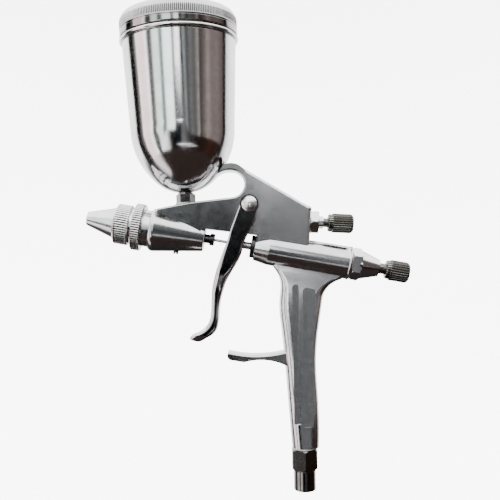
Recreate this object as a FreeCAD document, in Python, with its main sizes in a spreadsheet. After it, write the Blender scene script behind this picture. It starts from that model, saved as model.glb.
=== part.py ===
import FreeCAD, Part
import math
import os
from types import SimpleNamespace

import Sketcher
from FreeCAD import Placement, Rotation, Vector

# A small gravity-feed spray gun with a pistol trigger, in millimetres. Every piece is drawn in the gun's
# own frame: x runs rearward from the tip of the air cap along the nozzle line, z is up from that line.
# The finished pieces are then turned into the part's frame: +X is the way it sprays, +Z is up, and the
# origin is the middle of the end face of the air inlet.

DIMENSIONS = {
    # the part's frame
    "nozzle_reach": 116.7,
    "nozzle_height": 103.3,
    # fits
    "running_gap": 0.05,
    "needle_gap": 0.1,
    # air cap, its ring and the lock ring
    "cap_tip_radius": 3.0,
    "cap_orifice_radius": 1.5,
    "cap_cone_end": 12.5,
    "cap_base_radius": 6.9,
    "cap_flange_radius": 7.8,
    "cap_flange_front": 13.9,
    "cap_flange_end": 15.5,
    "cap_ring_front": 12.7,
    "cap_ring_end": 19.7,
    "cap_ring_radius": 9.0,
    "lock_ring_front": 21.1,
    "lock_ring_end": 25.4,
    "lock_ring_radius": 10.5,
    "ring_chamfer": 0.7,
    # nozzle head and nozzle
    "head_front": 15.8,
    "head_spigot_radius": 7.9,
    "head_collar_radius": 8.2,
    "head_shank_radius": 5.0,
    "head_shank_end": 36.0,
    "nozzle_front": 0.3,
    "nozzle_tip_radius": 0.9,
    "nozzle_body_radius": 3.3,
    "nozzle_flange_front": 12.4,
    "nozzle_flange_end": 15.2,
    "nozzle_flange_radius": 4.4,
    "nozzle_end": 38.0,
    "nozzle_washer_thickness": 0.8,
    "paint_bore_radius": 2.0,
    # front barrel
    "barrel_front": 28.9,
    "barrel_front_radius": 9.0,
    "barrel_shoulder": 31.0,
    "barrel_shoulder_radius": 9.7,
    "barrel_end": 53.4,
    "barrel_end_radius": 5.9,
    "grub_station": 41.6,
    "grub_radius": 1.15,
    "grub_length": 3.6,
    "grub_reach": 9.1,
    # needle line
    "needle_front": -0.3,
    "needle_radius": 0.65,
    "needle_taper_end": 3.9,
    "needle_end": 130.5,
    "packing_front": 47.5,
    "packing_end": 49.5,
    "packing_radius": 2.4,
    "packing_nut_neck_end": 55.8,
    "packing_nut_end": 57.8,
    "packing_nut_neck_radius": 2.0,
    "packing_nut_head_radius": 2.7,
    "slot_width": 0.7,
    "slot_depth": 0.9,
    # air valve
    "stem_front": 65.85,
    "stem_radius": 1.65,
    "stem_end": 105.5,
    "gland_front": 74.2,
    "gland_flange_end": 76.0,
    "gland_flange_radius": 5.0,
    "gland_thread_end": 82.0,
    "gland_thread_radius": 4.0,
    "valve_packing_end": 84.5,
    "front_chamber_radius": 3.2,
    "valve_seat_front": 87.2,
    "valve_seat_end": 88.0,
    "valve_seat_radius": 2.6,
    "valve_seal_front": 88.05,
    "valve_seal_end": 88.9,
    "valve_seal_radius": 3.5,
    "valve_head_end": 91.2,
    "valve_head_radius": 3.6,
    "rear_bore_radius": 5.0,
    "spring_seat_front": 103.0,
    "rear_cap_front": 104.6,
    # springs
    "valve_spring_radius": 3.6,
    "valve_spring_wire": 0.6,
    "valve_spring_turns": 6,
    "needle_spring_radius": 2.3,
    "needle_spring_wire": 0.5,
    "needle_spring_turns": 8,
    # rear barrel, rear cap and fluid knob
    "rear_barrel_radius": 6.0,
    "rear_barrel_shoulder": 82.5,
    "rear_barrel_shoulder_radius": 7.1,
    "rear_barrel_end": 119.6,
    "rear_barrel_end_radius": 7.3,
    "chuck_front": 105.9,
    "chuck_radius": 2.8,
    "chuck_shoulder": 113.0,
    "chuck_neck_radius": 1.6,
    "chuck_end": 116.2,
    "chuck_nut_end": 117.3,
    "thrust_washer_front": 127.5,
    "thrust_washer_end": 128.5,
    "thrust_washer_radius": 2.9,
    "rear_cap_bore_radius": 3.3,
    "rear_cap_bore_end": 129.6,
    "rear_cap_hexagon_start": 119.8,
    "rear_cap_hexagon_end": 124.2,
    "rear_cap_across_flats": 12.6,
    "rear_cap_cone_radius": 6.4,
    "rear_cap_end_radius": 3.8,
    "rear_cap_end": 132.4,
    "knob_stem_radius": 2.4,
    "knob_front": 135.6,
    "knob_shoulder_radius": 4.1,
    "knob_grip_front": 137.4,
    "knob_grip_radius": 4.65,
    "knob_end": 146.1,
    "knob_rounding": 0.9,
    "knob_bore_end": 136.0,
    # plate and hook
    "plate_half_thickness": 5.7,
    "plate_rounding": 1.4,
    "hook_rounding": 0.8,
    "plate_front": 30.9,
    "plate_front_height": 9.6,
    "plate_bend": 44.5,
    "plate_bend_height": 14.7,
    "hook_x": 61.0,
    "hook_z": 25.7,
    "hook_radius": 5.95,
    "hook_mouth_radius": 9.07,
    "hook_mouth_x": 54.4,
    "hook_mouth_z": 28.8,
    "hook_tip_x": 53.4,
    "hook_tip_z": 29.4,
    "hook_tip_rounding": 0.62,
    "hook_back_radius": 7.55,
    "slope_x": 64.3,
    "slope_z": 33.9,
    "plate_rear_top_x": 97.7,
    "plate_rear_top_z": 21.4,
    "plate_rear_x": 100.0,
    "plate_rear_z": 3.35,
    "plate_corner_rounding": 1.6,
    "window_rear": 76.3,
    "window_rear_height": 5.3,
    "window_front_height": 4.06,
    # trigger pivot
    "pivot_x": 70.5,
    "pivot_z": 18.2,
    "pivot_radius": 1.95,
    "pivot_head_radius": 3.4,
    "pivot_head_height": 1.5,
    "pivot_dimple_radius": 0.75,
    "pivot_nut_across_flats": 5.5,
    "pivot_nut_height": 1.8,
    # trigger
    "trigger_half_width": 7.6,
    "trigger_inner_half_width": 5.95,
    "trigger_eye_radius": 4.15,
    "trigger_web_top": 3.5,
    "trigger_web_rear": 65.5,
    "trigger_pocket_bottom": -13.0,
    "trigger_slot_half_width": 1.0,
    "trigger_slot_height": 0.35,
    "trigger_slot_half_height": 1.45,
    # upper air knob, along its own axis from the rear face of the plate
    "air_axis_x": 98.6,
    "air_axis_z": 15.16,
    "air_axis_pitch": 7.26,
    "air_gland_across_flats": 9.6,
    "air_gland_hexagon_end": 3.8,
    "air_gland_neck_radius": 2.8,
    "air_gland_neck_end": 5.9,
    "air_gland_depth": 6.5,
    "air_stem_radius": 2.0,
    "air_stem_front": -3.2,
    "air_needle_radius": 1.2,
    "air_needle_front": -13.0,
    "air_knob_front": 8.1,
    "air_knob_grip_front": 10.0,
    "air_knob_end": 19.4,
    "air_knob_shoulder_radius": 3.9,
    "air_knob_grip_radius": 4.3,
    "oring_wire": 0.5,
    "oring_radius": 2.0,
    "oring_station": -1.0,
    "air_passage_radius": 1.8,
    "air_passage_depth": 16.0,
    "side_passage_radius": 1.0,
    "side_passage_offset": 3.9,
    "riser_x": 85.9,
    # cup, along its own axis from its foot on the plate
    "cup_x": 42.1,
    "cup_z": 15.6,
    "cup_lean": 12.2,
    "cup_boss_radius": 4.9,
    "cup_boss_top": -1.9,
    "cup_port_depth": 7.5,
    "cup_seal_thickness": 0.6,
    "cup_nut_top": 2.4,
    "cup_nut_across_flats": 7.5,
    "cup_neck_radius": 2.95,
    "cup_neck_collar_radius": 3.5,
    "cup_neck_flange_radius": 5.2,
    "cup_neck_flange_thickness": 0.8,
    "cup_neck_flange_lift": 0.8,
    "cup_neck_bore_radius": 1.9,
    "cup_wall": 0.8,
    "cup_clearance": 0.3,
    "cup_bottom": 3.0,
    "cup_pole_radius": 19.0,
    "cup_bullet_radius": 23.3,
    "cup_bullet_length": 29.0,
    "cup_mouth_station": 69.6,
    "cup_mouth_radius": 25.4,
    "cup_rim_station": 71.0,
    "cup_rim_radius": 26.6,
    "cup_rim_wire": 1.0,
    "cup_lip_radius": 24.9,
    "cup_lip_end": 77.0,
    # lid
    "lid_front": 72.4,
    "lid_radius": 26.3,
    "lid_wall": 0.9,
    "lid_shoulder": 79.6,
    "lid_shoulder_radius": 3.4,
    "lid_dome_height": 84.3,
    "gasket_thickness": 1.0,
    "gasket_inner_radius": 21.8,
    # handle, its finger rest and its flutes
    "handle_lean": 10.6,
    "rest_tip_x": 72.4,
    "rest_tip_z": -49.6,
    "rest_root_x": 99.5,
    "rest_root_z": -46.2,
    "rest_half_width": 4.2,
    "rest_thickness": 3.4,
    "rest_root_thickness": 7.5,
    "rest_rounding": 0.9,
    "flute_top": -13.3,
    "flute_length": 62.0,
    "narrow_flute_x": 96.6,
    "narrow_flute_width": 2.9,
    "narrow_flute_floor": 4.1,
    "wide_flute_x": 102.7,
    "wide_flute_width": 5.8,
    "wide_flute_floor": 4.75,
    "flute_tilt": 0.9,
    # air inlet, along its own axis from its end face
    "inlet_thread_radius": 4.86,
    "inlet_thread_end": 9.2,
    "inlet_chamfer": 0.1,
    "inlet_hexagon_end": 18.5,
    "inlet_across_flats": 11.0,
    "inlet_washer_thickness": 0.8,
    "inlet_washer_radius": 5.4,
    "inlet_shank_radius": 3.9,
    "inlet_shank_length": 9.0,
    "inlet_bore_radius": 2.5,
    "handle_bore_top": 9.0,
}

# Cross-sections of the handle and of the trigger. Each has its height over the nozzle line, its front and
# rear edges, its half thickness and the rounding of its corners.
SECTIONS = {
    "handle": [
        (-4.5, 84.2, 118.4, 3.5, 2.4),
        (-7.7, 86.0, 116.6, 3.7, 2.6),
        (-10.2, 88.4, 113.0, 4.1, 2.9),
        (-13.6, 90.1, 110.6, 4.7, 3.4),
        (-21.7, 91.1, 110.0, 5.5, 4.0),
        (-34.0, 94.1, 110.4, 6.0, 4.3),
        (-60.0, 101.2, 115.0, 6.1, 4.3),
        (-90.0, 109.2, 120.2, 5.7, 4.1),
    ],
    "trigger": [
        (17.6, 66.4, 74.6, 7.6, 0.7),
        (8.2, 64.7, 73.1, 7.6, 0.7),
        (4.6, 64.1, 71.9, 7.6, 0.8),
        (-0.5, 63.4, 70.9, 7.6, 1.0),
        (-6.2, 62.2, 70.2, 7.6, 1.4),
        (-10.4, 61.4, 68.7, 7.5, 1.8),
        (-13.8, 60.9, 67.4, 7.2, 2.1),
        (-17.4, 60.6, 66.2, 6.4, 2.2),
        (-21.0, 60.5, 65.6, 5.6, 2.0),
        (-26.8, 61.2, 65.2, 5.2, 1.7),
        (-35.4, 61.8, 65.9, 5.1, 1.7),
        (-38.3, 60.9, 65.8, 5.0, 1.8),
        (-40.9, 59.0, 64.7, 4.8, 1.9),
        (-43.2, 55.7, 62.4, 4.5, 1.9),
        (-44.8, 54.4, 60.6, 3.9, 1.9),
        (-46.0, 55.9, 58.7, 2.4, 1.2),
    ],
}

doc = FreeCAD.newDocument("AirbrushGun")
sheet = doc.addObject("Spreadsheet::Sheet", "Dimensions")
nodes = []


class Size:
    """A number of the sheet, or one worked out from such numbers, with the expression that gives it."""

    def __init__(self, text, value):
        self.text = text
        self.value = value

    def __add__(self, other):
        return combine(self, "+", other)

    def __radd__(self, other):
        return combine(other, "+", self)

    def __sub__(self, other):
        return combine(self, "-", other)

    def __rsub__(self, other):
        return combine(other, "-", self)

    def __mul__(self, other):
        return combine(self, "*", other)

    def __rmul__(self, other):
        return combine(other, "*", self)

    def __truediv__(self, other):
        return combine(self, "/", other)

    def __neg__(self):
        return combine(0, "-", self)


def as_size(number):
    if isinstance(number, Size):
        return number
    return Size(f"({float(number)})", float(number))


def combine(left, sign, right):
    left = as_size(left)
    right = as_size(right)
    results = {
        "+": left.value + right.value,
        "-": left.value - right.value,
        "*": left.value * right.value,
        "/": left.value / right.value if right.value else 0.0,
    }
    return Size(f"({left.text} {sign} {right.text})", results[sign])


def cosine(degrees):
    return Size(f"cos({degrees.text} * 1 deg)", math.cos(math.radians(degrees.value)))


def sine(degrees):
    return Size(f"sin({degrees.text} * 1 deg)", math.sin(math.radians(degrees.value)))


def fill_sheet(values):
    """Writes every dimension to the sheet and returns the sizes under their names."""
    sizes = {}
    for row, (alias, value) in enumerate(values.items(), start=1):
        sheet.set(f"A{row}", alias.replace("_", " "))
        sheet.set(f"B{row}", str(value))
        sheet.setAlias(f"B{row}", alias)
        sizes[alias] = Size(f"Dimensions.{alias}", float(value))
    return SimpleNamespace(**sizes)


for owner, rows in SECTIONS.items():
    for number, row in enumerate(rows):
        for alias, value in zip(("height", "front", "rear", "half", "corner"), row):
            DIMENSIONS[f"{owner}_section_{number}_{alias}"] = value
d = fill_sheet(DIMENSIONS)
doc.recompute()


# ---------------------------------------------------------------- frames


class Frame:
    """A place in the gun's frame, with the turn that carries its own x axis to the way it points."""

    def __init__(self, x=0, z=0, rotation=None):
        self.x = as_size(x)
        self.z = as_size(z)
        self.rotation = rotation or Rotation()


def pitched(degrees):
    """The turn that carries the x axis up by this angle."""
    return Rotation(Vector(0, 1, 0), -degrees)


GUN = Frame()
AIR = Frame(d.air_axis_x, d.air_axis_z, pitched(d.air_axis_pitch.value))
CUP = Frame(d.cup_x, d.cup_z, pitched(90 + d.cup_lean.value))
INLET = Frame(d.nozzle_reach, -d.nozzle_height, pitched(90 + d.handle_lean.value))
PIVOT = Frame(d.pivot_x, d.pivot_z, Rotation(Vector(0, 0, 1), -90))


def bind(piece, **sizes):
    """Ties properties to the sheet; a double underscore in a name stands for a dot."""
    for name, size in sizes.items():
        piece.setExpression(name.replace("__", "."), as_size(size).text)


def node(piece, label, frame=GUN):
    """Names a finished sub-part and places it in the part's frame."""
    turn = Rotation(Vector(0, 0, 1), 180)
    x = d.nozzle_reach - frame.x
    z = d.nozzle_height + frame.z
    piece.Placement = Placement(Vector(x.value, 0, z.value), turn * frame.rotation)
    bind(piece, Placement__Base__x=x, Placement__Base__z=z)
    piece.Label = label
    nodes.append(piece)
    return piece


# ---------------------------------------------------------------- sketches and solids


def arc_edge(start, end, radius):
    """The shorter arc between two points; a positive radius bulges to the left of the way from start
    to end.
    """
    chord = end - start
    side = math.copysign(1.0, radius)
    depth = math.sqrt(max(radius**2 - (chord.Length / 2) ** 2, 0.0))
    across = Vector(chord.y, -chord.x, 0).normalize()
    centre = (start + end) * 0.5 + across * (side * depth)
    circle = Part.Circle(centre, Vector(0, 0, 1), abs(radius))
    angles = []
    for point in (start, end):
        angles.append(math.atan2(point.y - centre.y, point.x - centre.x))
    if side > 0:
        angles.reverse()
    if angles[1] < angles[0]:
        angles[1] += 2 * math.pi
    return Part.ArcOfCircle(circle, angles[0], angles[1])


def closed_sketch(body, role, corners):
    """A closed outline in one of the body's origin planes, drawn clockwise. A corner is (x, y) or (x,
    y, radius):
    with a radius, the edge that ends there is an arc, which bulges outward if the radius is positive."""
    sketch = body.newObject("Sketcher::SketchObject", body.Name + "Sketch")
    plane = [part for part in body.Origin.OriginFeatures if part.Role == role][0]
    sketch.AttachmentSupport = [(plane, "")]
    sketch.MapMode = "FlatFace"
    corners = [tuple(as_size(number) for number in corner) for corner in corners]
    points = [Vector(corner[0].value, corner[1].value, 0) for corner in corners]
    ends = []
    edges = []
    for number, start in enumerate(points):
        following = (number + 1) % len(points)
        if len(corners[following]) == 3:
            radius = corners[following][2].value
            edges.append(arc_edge(start, points[following], radius))
            ends.append((2, 1) if radius > 0 else (1, 2))
        else:
            edges.append(Part.LineSegment(start, points[following]))
            ends.append((1, 2))
    sketch.addGeometry(edges, False)
    for number, corner in enumerate(corners):
        before = number - 1 if number else len(corners) - 1
        here = ends[number][0]
        sketch.addConstraint(Sketcher.Constraint("Coincident", before, ends[before][1], number, here))
        for kind, size in (("DistanceX", corner[0]), ("DistanceY", corner[1])):
            index = sketch.addConstraint(Sketcher.Constraint(kind, -1, 1, number, here, size.value))
            sketch.setExpression(f"Constraints[{index}]", size.text)
        if len(corner) == 3:
            length = combine(corner[2], "*", math.copysign(1, corner[2].value))
            index = sketch.addConstraint(Sketcher.Constraint("Radius", before, length.value))
            sketch.setExpression(f"Constraints[{index}]", length.text)
    return sketch


def turned(name, corners):
    """A lathe-turned piece about its own x axis, from the stations and radii of its section."""
    body = doc.addObject("PartDesign::Body", name)
    sketch = closed_sketch(body, "XZ_Plane", corners)
    revolution = body.newObject("PartDesign::Revolution", name + "Revolution")
    revolution.Profile = sketch
    revolution.ReferenceAxis = (sketch, ["H_Axis"])
    revolution.Angle = 360
    body.Tip = revolution
    return body


def ring(name, front, end, inner, outer):
    """A plain washer, bush or tube."""
    return turned(name, [(front, inner), (front, outer), (end, outer), (end, inner)])


def rod(name, front, end, radius):
    """A plain round bar along its own x axis."""
    bar = doc.addObject("Part::Cylinder", name)
    bind(bar, Radius=radius, Height=as_size(end) - front, Placement__Base__x=front)
    bar.Placement = Placement(Vector(as_size(front).value, 0, 0), Rotation(Vector(0, 1, 0), 90))
    return bar


def along(frame, station, offset=0):
    """The placement of a rod that starts at a station of a frame's own x axis, moved sideways by an
    offset.
    """
    start = frame.rotation.multVec(Vector(station, offset, 0))
    base = Vector(frame.x.value, 0, frame.z.value) + start
    return Placement(base, frame.rotation * Rotation(Vector(0, 1, 0), 90))


def cylinder(name, frame, front, end, radius, offset=0):
    """A round bar or a straight drilling along a frame's own x axis, between two stations."""
    tool = doc.addObject("Part::Cylinder", name)
    front = as_size(front)
    bind(tool, Radius=radius, Height=as_size(end) - front)
    tool.Placement = along(frame, front.value, as_size(offset).value)
    return tool


def hexagon(name, front, end, across_flats, spin=0):
    """A hexagonal bar along its own x axis; spin turns it about that axis."""
    prism = doc.addObject("Part::Prism", name)
    prism.Polygon = 6
    size = as_size(across_flats) / Size("sqrt(3)", math.sqrt(3))
    bind(prism, Circumradius=size, Height=as_size(end) - front, Placement__Base__x=front)
    turn = Rotation(Vector(1, 0, 0), spin) * Rotation(Vector(0, 1, 0), 90)
    prism.Placement = Placement(Vector(as_size(front).value, 0, 0), turn)
    return prism


def block(name, x, y, z):
    """A box from three pairs of limits."""
    box = doc.addObject("Part::Box", name)
    lows = [as_size(pair[0]) for pair in (x, y, z)]
    spans = [as_size(pair[1]) - pair[0] for pair in (x, y, z)]
    bind(box, Length=spans[0], Width=spans[1], Height=spans[2])
    box.Placement = Placement(Vector(*[low.value for low in lows]), Rotation())
    bind(box, Placement__Base__x=lows[0], Placement__Base__y=lows[1], Placement__Base__z=lows[2])
    return box


def padded(name, corners, half_width, plane="XZ_Plane"):
    """A plate of the given outline, with half its width on each side of its plane."""
    body = doc.addObject("PartDesign::Body", name)
    pad = body.newObject("PartDesign::Pad", name + "Pad")
    pad.Profile = closed_sketch(body, plane, corners)
    pad.SideType = "Symmetric"
    bind(pad, Length=2 * as_size(half_width))
    body.Tip = pad
    return body


def fuse(name, pieces):
    joined = doc.addObject("Part::MultiFuse", name)
    joined.Shapes = pieces
    joined.Refine = True
    return joined


def cut(name, base, tools):
    result = doc.addObject("Part::Cut", name)
    result.Base = base
    result.Tool = tools[0] if len(tools) == 1 else fuse(name + "Tools", tools)
    result.Refine = True
    return result


def common(name, first, second):
    result = doc.addObject("Part::Common", name)
    result.Base = first
    result.Tool = second
    result.Refine = True
    return result


def rounded(name, base, radius, wanted):
    """The base with a fillet on each edge that the wanted function picks."""
    doc.recompute()
    edges = []
    for number, edge in enumerate(base.Shape.Edges, start=1):
        if wanted(edge):
            edges.append((number, radius.value, radius.value))
    fillet = doc.addObject("Part::Fillet", name)
    fillet.Base = base
    fillet.Edges = edges
    return fillet


def middle(edge):
    return edge.valueAt((edge.FirstParameter + edge.LastParameter) / 2)


def coil(name, radius, wire, turns, front, end):
    """A compression spring of a whole number of turns along its own z axis, as tall as two stations
    allow.
    """
    height = end - front - wire - 0.1
    helix = doc.addObject("Part::Helix", name + "Helix")
    helix.SegmentLength = 1
    bind(helix, Radius=radius, Pitch=height / turns, Height=height)
    profile = doc.addObject("Part::Circle", name + "Wire")
    bind(profile, Radius=wire / 2, Placement__Base__x=radius)
    profile.Placement = Placement(Vector(radius.value, 0, 0), Rotation(Vector(1, 0, 0), 90))
    sweep = doc.addObject("Part::Sweep", name)
    sweep.Sections = [profile]
    sweep.Spine = (helix, [])
    sweep.Solid = True
    sweep.Frenet = True
    return sweep


# ---------------------------------------------------------------- air cap, rings, head and nozzle


def make_air_cap():
    inside = d.cap_tip_radius - 0.9
    corners = [
        (0, d.cap_orifice_radius),
        (0, d.cap_tip_radius),
        (d.cap_cone_end, d.cap_base_radius),
        (d.cap_flange_front, d.cap_base_radius),
        (d.cap_flange_front, d.cap_flange_radius),
        (d.cap_flange_end, d.cap_flange_radius),
        (d.cap_flange_end, d.cap_base_radius - 0.8),
        (d.cap_cone_end, d.cap_base_radius - 1.1),
        (3.0, inside),
        (1.2, d.cap_orifice_radius),
    ]
    node(turned("AirCap", corners), "air_cap")


def make_cap_ring():
    bore = d.head_spigot_radius + d.running_gap
    lip = d.cap_base_radius + d.running_gap
    front = d.cap_ring_front
    corners = [
        (front, lip),
        (front, d.cap_ring_radius - d.ring_chamfer * 1.6),
        (front + d.ring_chamfer, d.cap_ring_radius),
        (d.cap_ring_end - 0.4, d.cap_ring_radius),
        (d.cap_ring_end, d.cap_ring_radius - 0.4),
        (d.cap_ring_end, bore),
        (d.cap_flange_front - 0.1, bore),
        (d.cap_flange_front - 0.1, lip),
    ]
    node(turned("CapRing", corners), "air_cap_ring")


def make_lock_ring():
    bore = d.head_spigot_radius + d.running_gap
    corners = [
        (d.lock_ring_front, bore),
        (d.lock_ring_front, d.lock_ring_radius - 0.5),
        (d.lock_ring_front + 0.5, d.lock_ring_radius),
        (d.lock_ring_end - 0.5, d.lock_ring_radius),
        (d.lock_ring_end, d.lock_ring_radius - 0.5),
        (d.lock_ring_end, bore),
    ]
    node(turned("LockRing", corners), "head_lock_ring")


def make_head():
    """The nozzle head: the threaded spigot that carries both rings, the collar, and the shank in the
    barrel.
    """
    bore = d.nozzle_body_radius + 0.03
    collar_front = d.lock_ring_end + 0.1
    corners = [
        (d.head_front, d.nozzle_body_radius + 1.6),
        (d.head_front, d.head_spigot_radius - 0.4),
        (d.head_front + 0.4, d.head_spigot_radius),
        (collar_front, d.head_spigot_radius),
        (collar_front, d.head_collar_radius),
        (d.barrel_front, d.head_collar_radius),
        (d.barrel_front, d.head_shank_radius),
        (d.head_shank_end, d.head_shank_radius),
        (d.head_shank_end, bore),
        (d.head_front + 2.4, bore),
        (d.head_front + 2.4, d.nozzle_body_radius + 1.6),
    ]
    drilled = turned("HeadBlank", corners)
    holes = []
    for number in range(8):
        hole = rod(f"HeadHole{number}", d.head_front - 1, d.barrel_front + 1, 0.7)
        angle = math.radians(22.5 + 45 * number)
        reach = 6.3
        hole.Placement.Base = Vector(
            d.head_front.value - 1, reach * math.cos(angle), reach * math.sin(angle)
        )
        holes.append(hole)
    node(cut("Head", drilled, holes), "nozzle_head")


def make_nozzle():
    corners = [
        (d.nozzle_front, 0.3),
        (d.nozzle_front, d.nozzle_tip_radius),
        (1.6, d.nozzle_tip_radius + 0.15),
        (6.0, 2.1),
        (7.0, d.nozzle_body_radius),
        (d.nozzle_flange_front, d.nozzle_body_radius),
        (d.nozzle_flange_front, d.nozzle_flange_radius),
        (d.nozzle_flange_end, d.nozzle_flange_radius),
        (d.nozzle_flange_end, d.nozzle_body_radius),
        (d.nozzle_end, d.nozzle_body_radius),
        (d.nozzle_end, d.paint_bore_radius),
        (6.5, d.paint_bore_radius),
        (4.6, 0.85),
        (1.2, 0.5),
    ]
    node(turned("Nozzle", corners), "fluid_nozzle")
    end = d.nozzle_end + d.nozzle_washer_thickness
    washer = ring("NozzleWasher", d.nozzle_end, end, d.paint_bore_radius, d.nozzle_body_radius)
    node(washer, "nozzle_washer")


# ---------------------------------------------------------------- needle and its packing


def make_needle():
    corners = [
        (d.needle_front, 0),
        (d.needle_front, 0.1),
        (d.needle_taper_end, d.needle_radius),
        (d.needle_end, d.needle_radius),
        (d.needle_end, 0),
    ]
    node(turned("Needle", corners), "fluid_needle")


def make_packing():
    bore = d.needle_radius + 0.02
    packing = ring("NeedlePacking", d.packing_front, d.packing_end, bore, d.packing_radius)
    node(packing, "needle_packing")
    bore = d.needle_radius + d.needle_gap
    corners = [
        (d.packing_end, bore),
        (d.packing_end, d.packing_radius),
        (d.barrel_end, d.packing_radius),
        (d.barrel_end, d.packing_nut_neck_radius),
        (d.packing_nut_neck_end, d.packing_nut_neck_radius),
        (d.packing_nut_neck_end, d.packing_nut_head_radius),
        (d.packing_nut_end, d.packing_nut_head_radius),
        (d.packing_nut_end, bore),
    ]
    blank = turned("PackingNutBlank", corners)
    reach = d.packing_nut_head_radius + 1
    slot = block(
        "PackingNutSlot",
        (d.packing_nut_end - d.slot_depth, d.packing_nut_end + 1),
        (-reach, reach),
        (-d.slot_width / 2, d.slot_width / 2),
    )
    node(cut("PackingNut", blank, [slot]), "packing_nut")


def make_grub_screw():
    frame = Frame(d.grub_station, -d.grub_reach, pitched(90))
    radius = d.grub_radius
    blank = turned("GrubBlank", [(0, 0), (0, radius), (d.grub_length, radius), (d.grub_length, 0)])
    slot = block("GrubSlot", (-1, 0.6), (-2, 2), (-0.25, 0.25))
    node(cut("GrubScrew", blank, [slot]), "barrel_grub_screw", frame)


# ---------------------------------------------------------------- air valve


def make_air_valve():
    stem_bore = d.needle_radius + d.needle_gap
    corners = [
        (d.stem_front, stem_bore),
        (d.stem_front, d.stem_radius - 0.2),
        (d.stem_front + 0.2, d.stem_radius),
        (d.valve_seal_end, d.stem_radius),
        (d.valve_seal_end, d.valve_head_radius),
        (d.valve_head_end, d.valve_head_radius),
        (d.valve_head_end, d.stem_radius),
        (d.stem_end, d.stem_radius),
        (d.stem_end, stem_bore),
    ]
    node(turned("ValveStem", corners), "air_valve_stem")
    seal = ring("ValveSeal", d.valve_seal_front, d.valve_seal_end, d.stem_radius, d.valve_seal_radius)
    node(seal, "air_valve_seal")
    gland_bore = d.stem_radius + d.running_gap
    corners = [
        (d.gland_front, gland_bore),
        (d.gland_front, d.gland_flange_radius - 0.3),
        (d.gland_front + 0.3, d.gland_flange_radius),
        (d.gland_flange_end, d.gland_flange_radius),
        (d.gland_flange_end, d.gland_thread_radius),
        (d.gland_thread_end, d.gland_thread_radius),
        (d.gland_thread_end, gland_bore),
    ]
    node(turned("ValveGland", corners), "air_valve_gland")
    packing = ring(
        "ValvePacking", d.gland_thread_end, d.valve_packing_end, gland_bore, d.gland_thread_radius
    )
    node(packing, "air_valve_packing")
    seat_bore = d.stem_radius + d.needle_gap
    seat = ring("SpringSeat", d.spring_seat_front, d.rear_cap_front, seat_bore, d.rear_bore_radius)
    node(seat, "valve_spring_seat")
    spring = coil(
        "ValveSpring",
        d.valve_spring_radius,
        d.valve_spring_wire,
        d.valve_spring_turns,
        d.valve_head_end,
        d.spring_seat_front,
    )
    start = d.valve_head_end + d.valve_spring_wire / 2 + 0.05
    node(spring, "air_valve_spring", Frame(start, 0, Rotation(Vector(0, 1, 0), 90)))


# ---------------------------------------------------------------- rear end of the needle line


def make_chuck():
    corners = [
        (d.chuck_front, d.needle_radius),
        (d.chuck_front, d.chuck_radius - 0.3),
        (d.chuck_front + 0.3, d.chuck_radius),
        (d.chuck_shoulder, d.chuck_radius),
        (d.chuck_shoulder, d.chuck_neck_radius),
        (d.chuck_end, d.chuck_neck_radius),
        (d.chuck_end, d.needle_radius),
    ]
    node(turned("Chuck", corners), "needle_chuck")
    corners = [
        (d.chuck_shoulder, d.chuck_neck_radius),
        (d.chuck_shoulder, d.chuck_radius),
        (d.chuck_nut_end - 0.4, d.chuck_radius),
        (d.chuck_nut_end, d.chuck_radius - 0.4),
        (d.chuck_nut_end, d.needle_radius),
        (d.chuck_end, d.needle_radius),
        (d.chuck_end, d.chuck_neck_radius),
    ]
    node(turned("ChuckNut", corners), "needle_chuck_nut")
    spring = coil(
        "NeedleSpring",
        d.needle_spring_radius,
        d.needle_spring_wire,
        d.needle_spring_turns,
        d.chuck_nut_end,
        d.thrust_washer_front,
    )
    start = d.chuck_nut_end + d.needle_spring_wire / 2 + 0.05
    node(spring, "needle_spring", Frame(start, 0, Rotation(Vector(0, 1, 0), 90)))
    washer = ring(
        "ThrustWasher",
        d.thrust_washer_front,
        d.thrust_washer_end,
        d.needle_radius + 0.15,
        d.thrust_washer_radius,
    )
    node(washer, "spring_thrust_washer")


def make_rear_cap():
    bore = d.knob_stem_radius + d.running_gap
    corners = [
        (d.rear_cap_front, d.rear_cap_bore_radius),
        (d.rear_cap_front, d.rear_bore_radius),
        (d.rear_cap_hexagon_start, d.rear_bore_radius),
        (d.rear_cap_hexagon_start, d.rear_cap_cone_radius - 0.4),
        (d.rear_cap_hexagon_end, d.rear_cap_cone_radius),
        (d.rear_cap_end, d.rear_cap_end_radius),
        (d.rear_cap_end, bore),
        (d.rear_cap_bore_end, bore),
        (d.rear_cap_bore_end, d.rear_cap_bore_radius),
    ]
    core = turned("RearCapCore", corners)
    grip = hexagon(
        "RearCapHexagon", d.rear_cap_hexagon_start, d.rear_cap_hexagon_end, d.rear_cap_across_flats
    )
    corner_trim = turned(
        "RearCapTrim",
        [
            (d.rear_cap_hexagon_start, d.rear_cap_bore_radius + 1),
            (d.rear_cap_hexagon_start, d.rear_cap_cone_radius + 0.2),
            (d.rear_cap_hexagon_start + 0.8, d.rear_cap_cone_radius + 0.85),
            (d.rear_cap_hexagon_end - 0.8, d.rear_cap_cone_radius + 0.85),
            (d.rear_cap_hexagon_end, d.rear_cap_cone_radius + 0.1),
            (d.rear_cap_hexagon_end, d.rear_cap_bore_radius + 1),
        ],
    )
    node(fuse("RearCap", [core, common("RearCapGrip", grip, corner_trim)]), "rear_cap")


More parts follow.
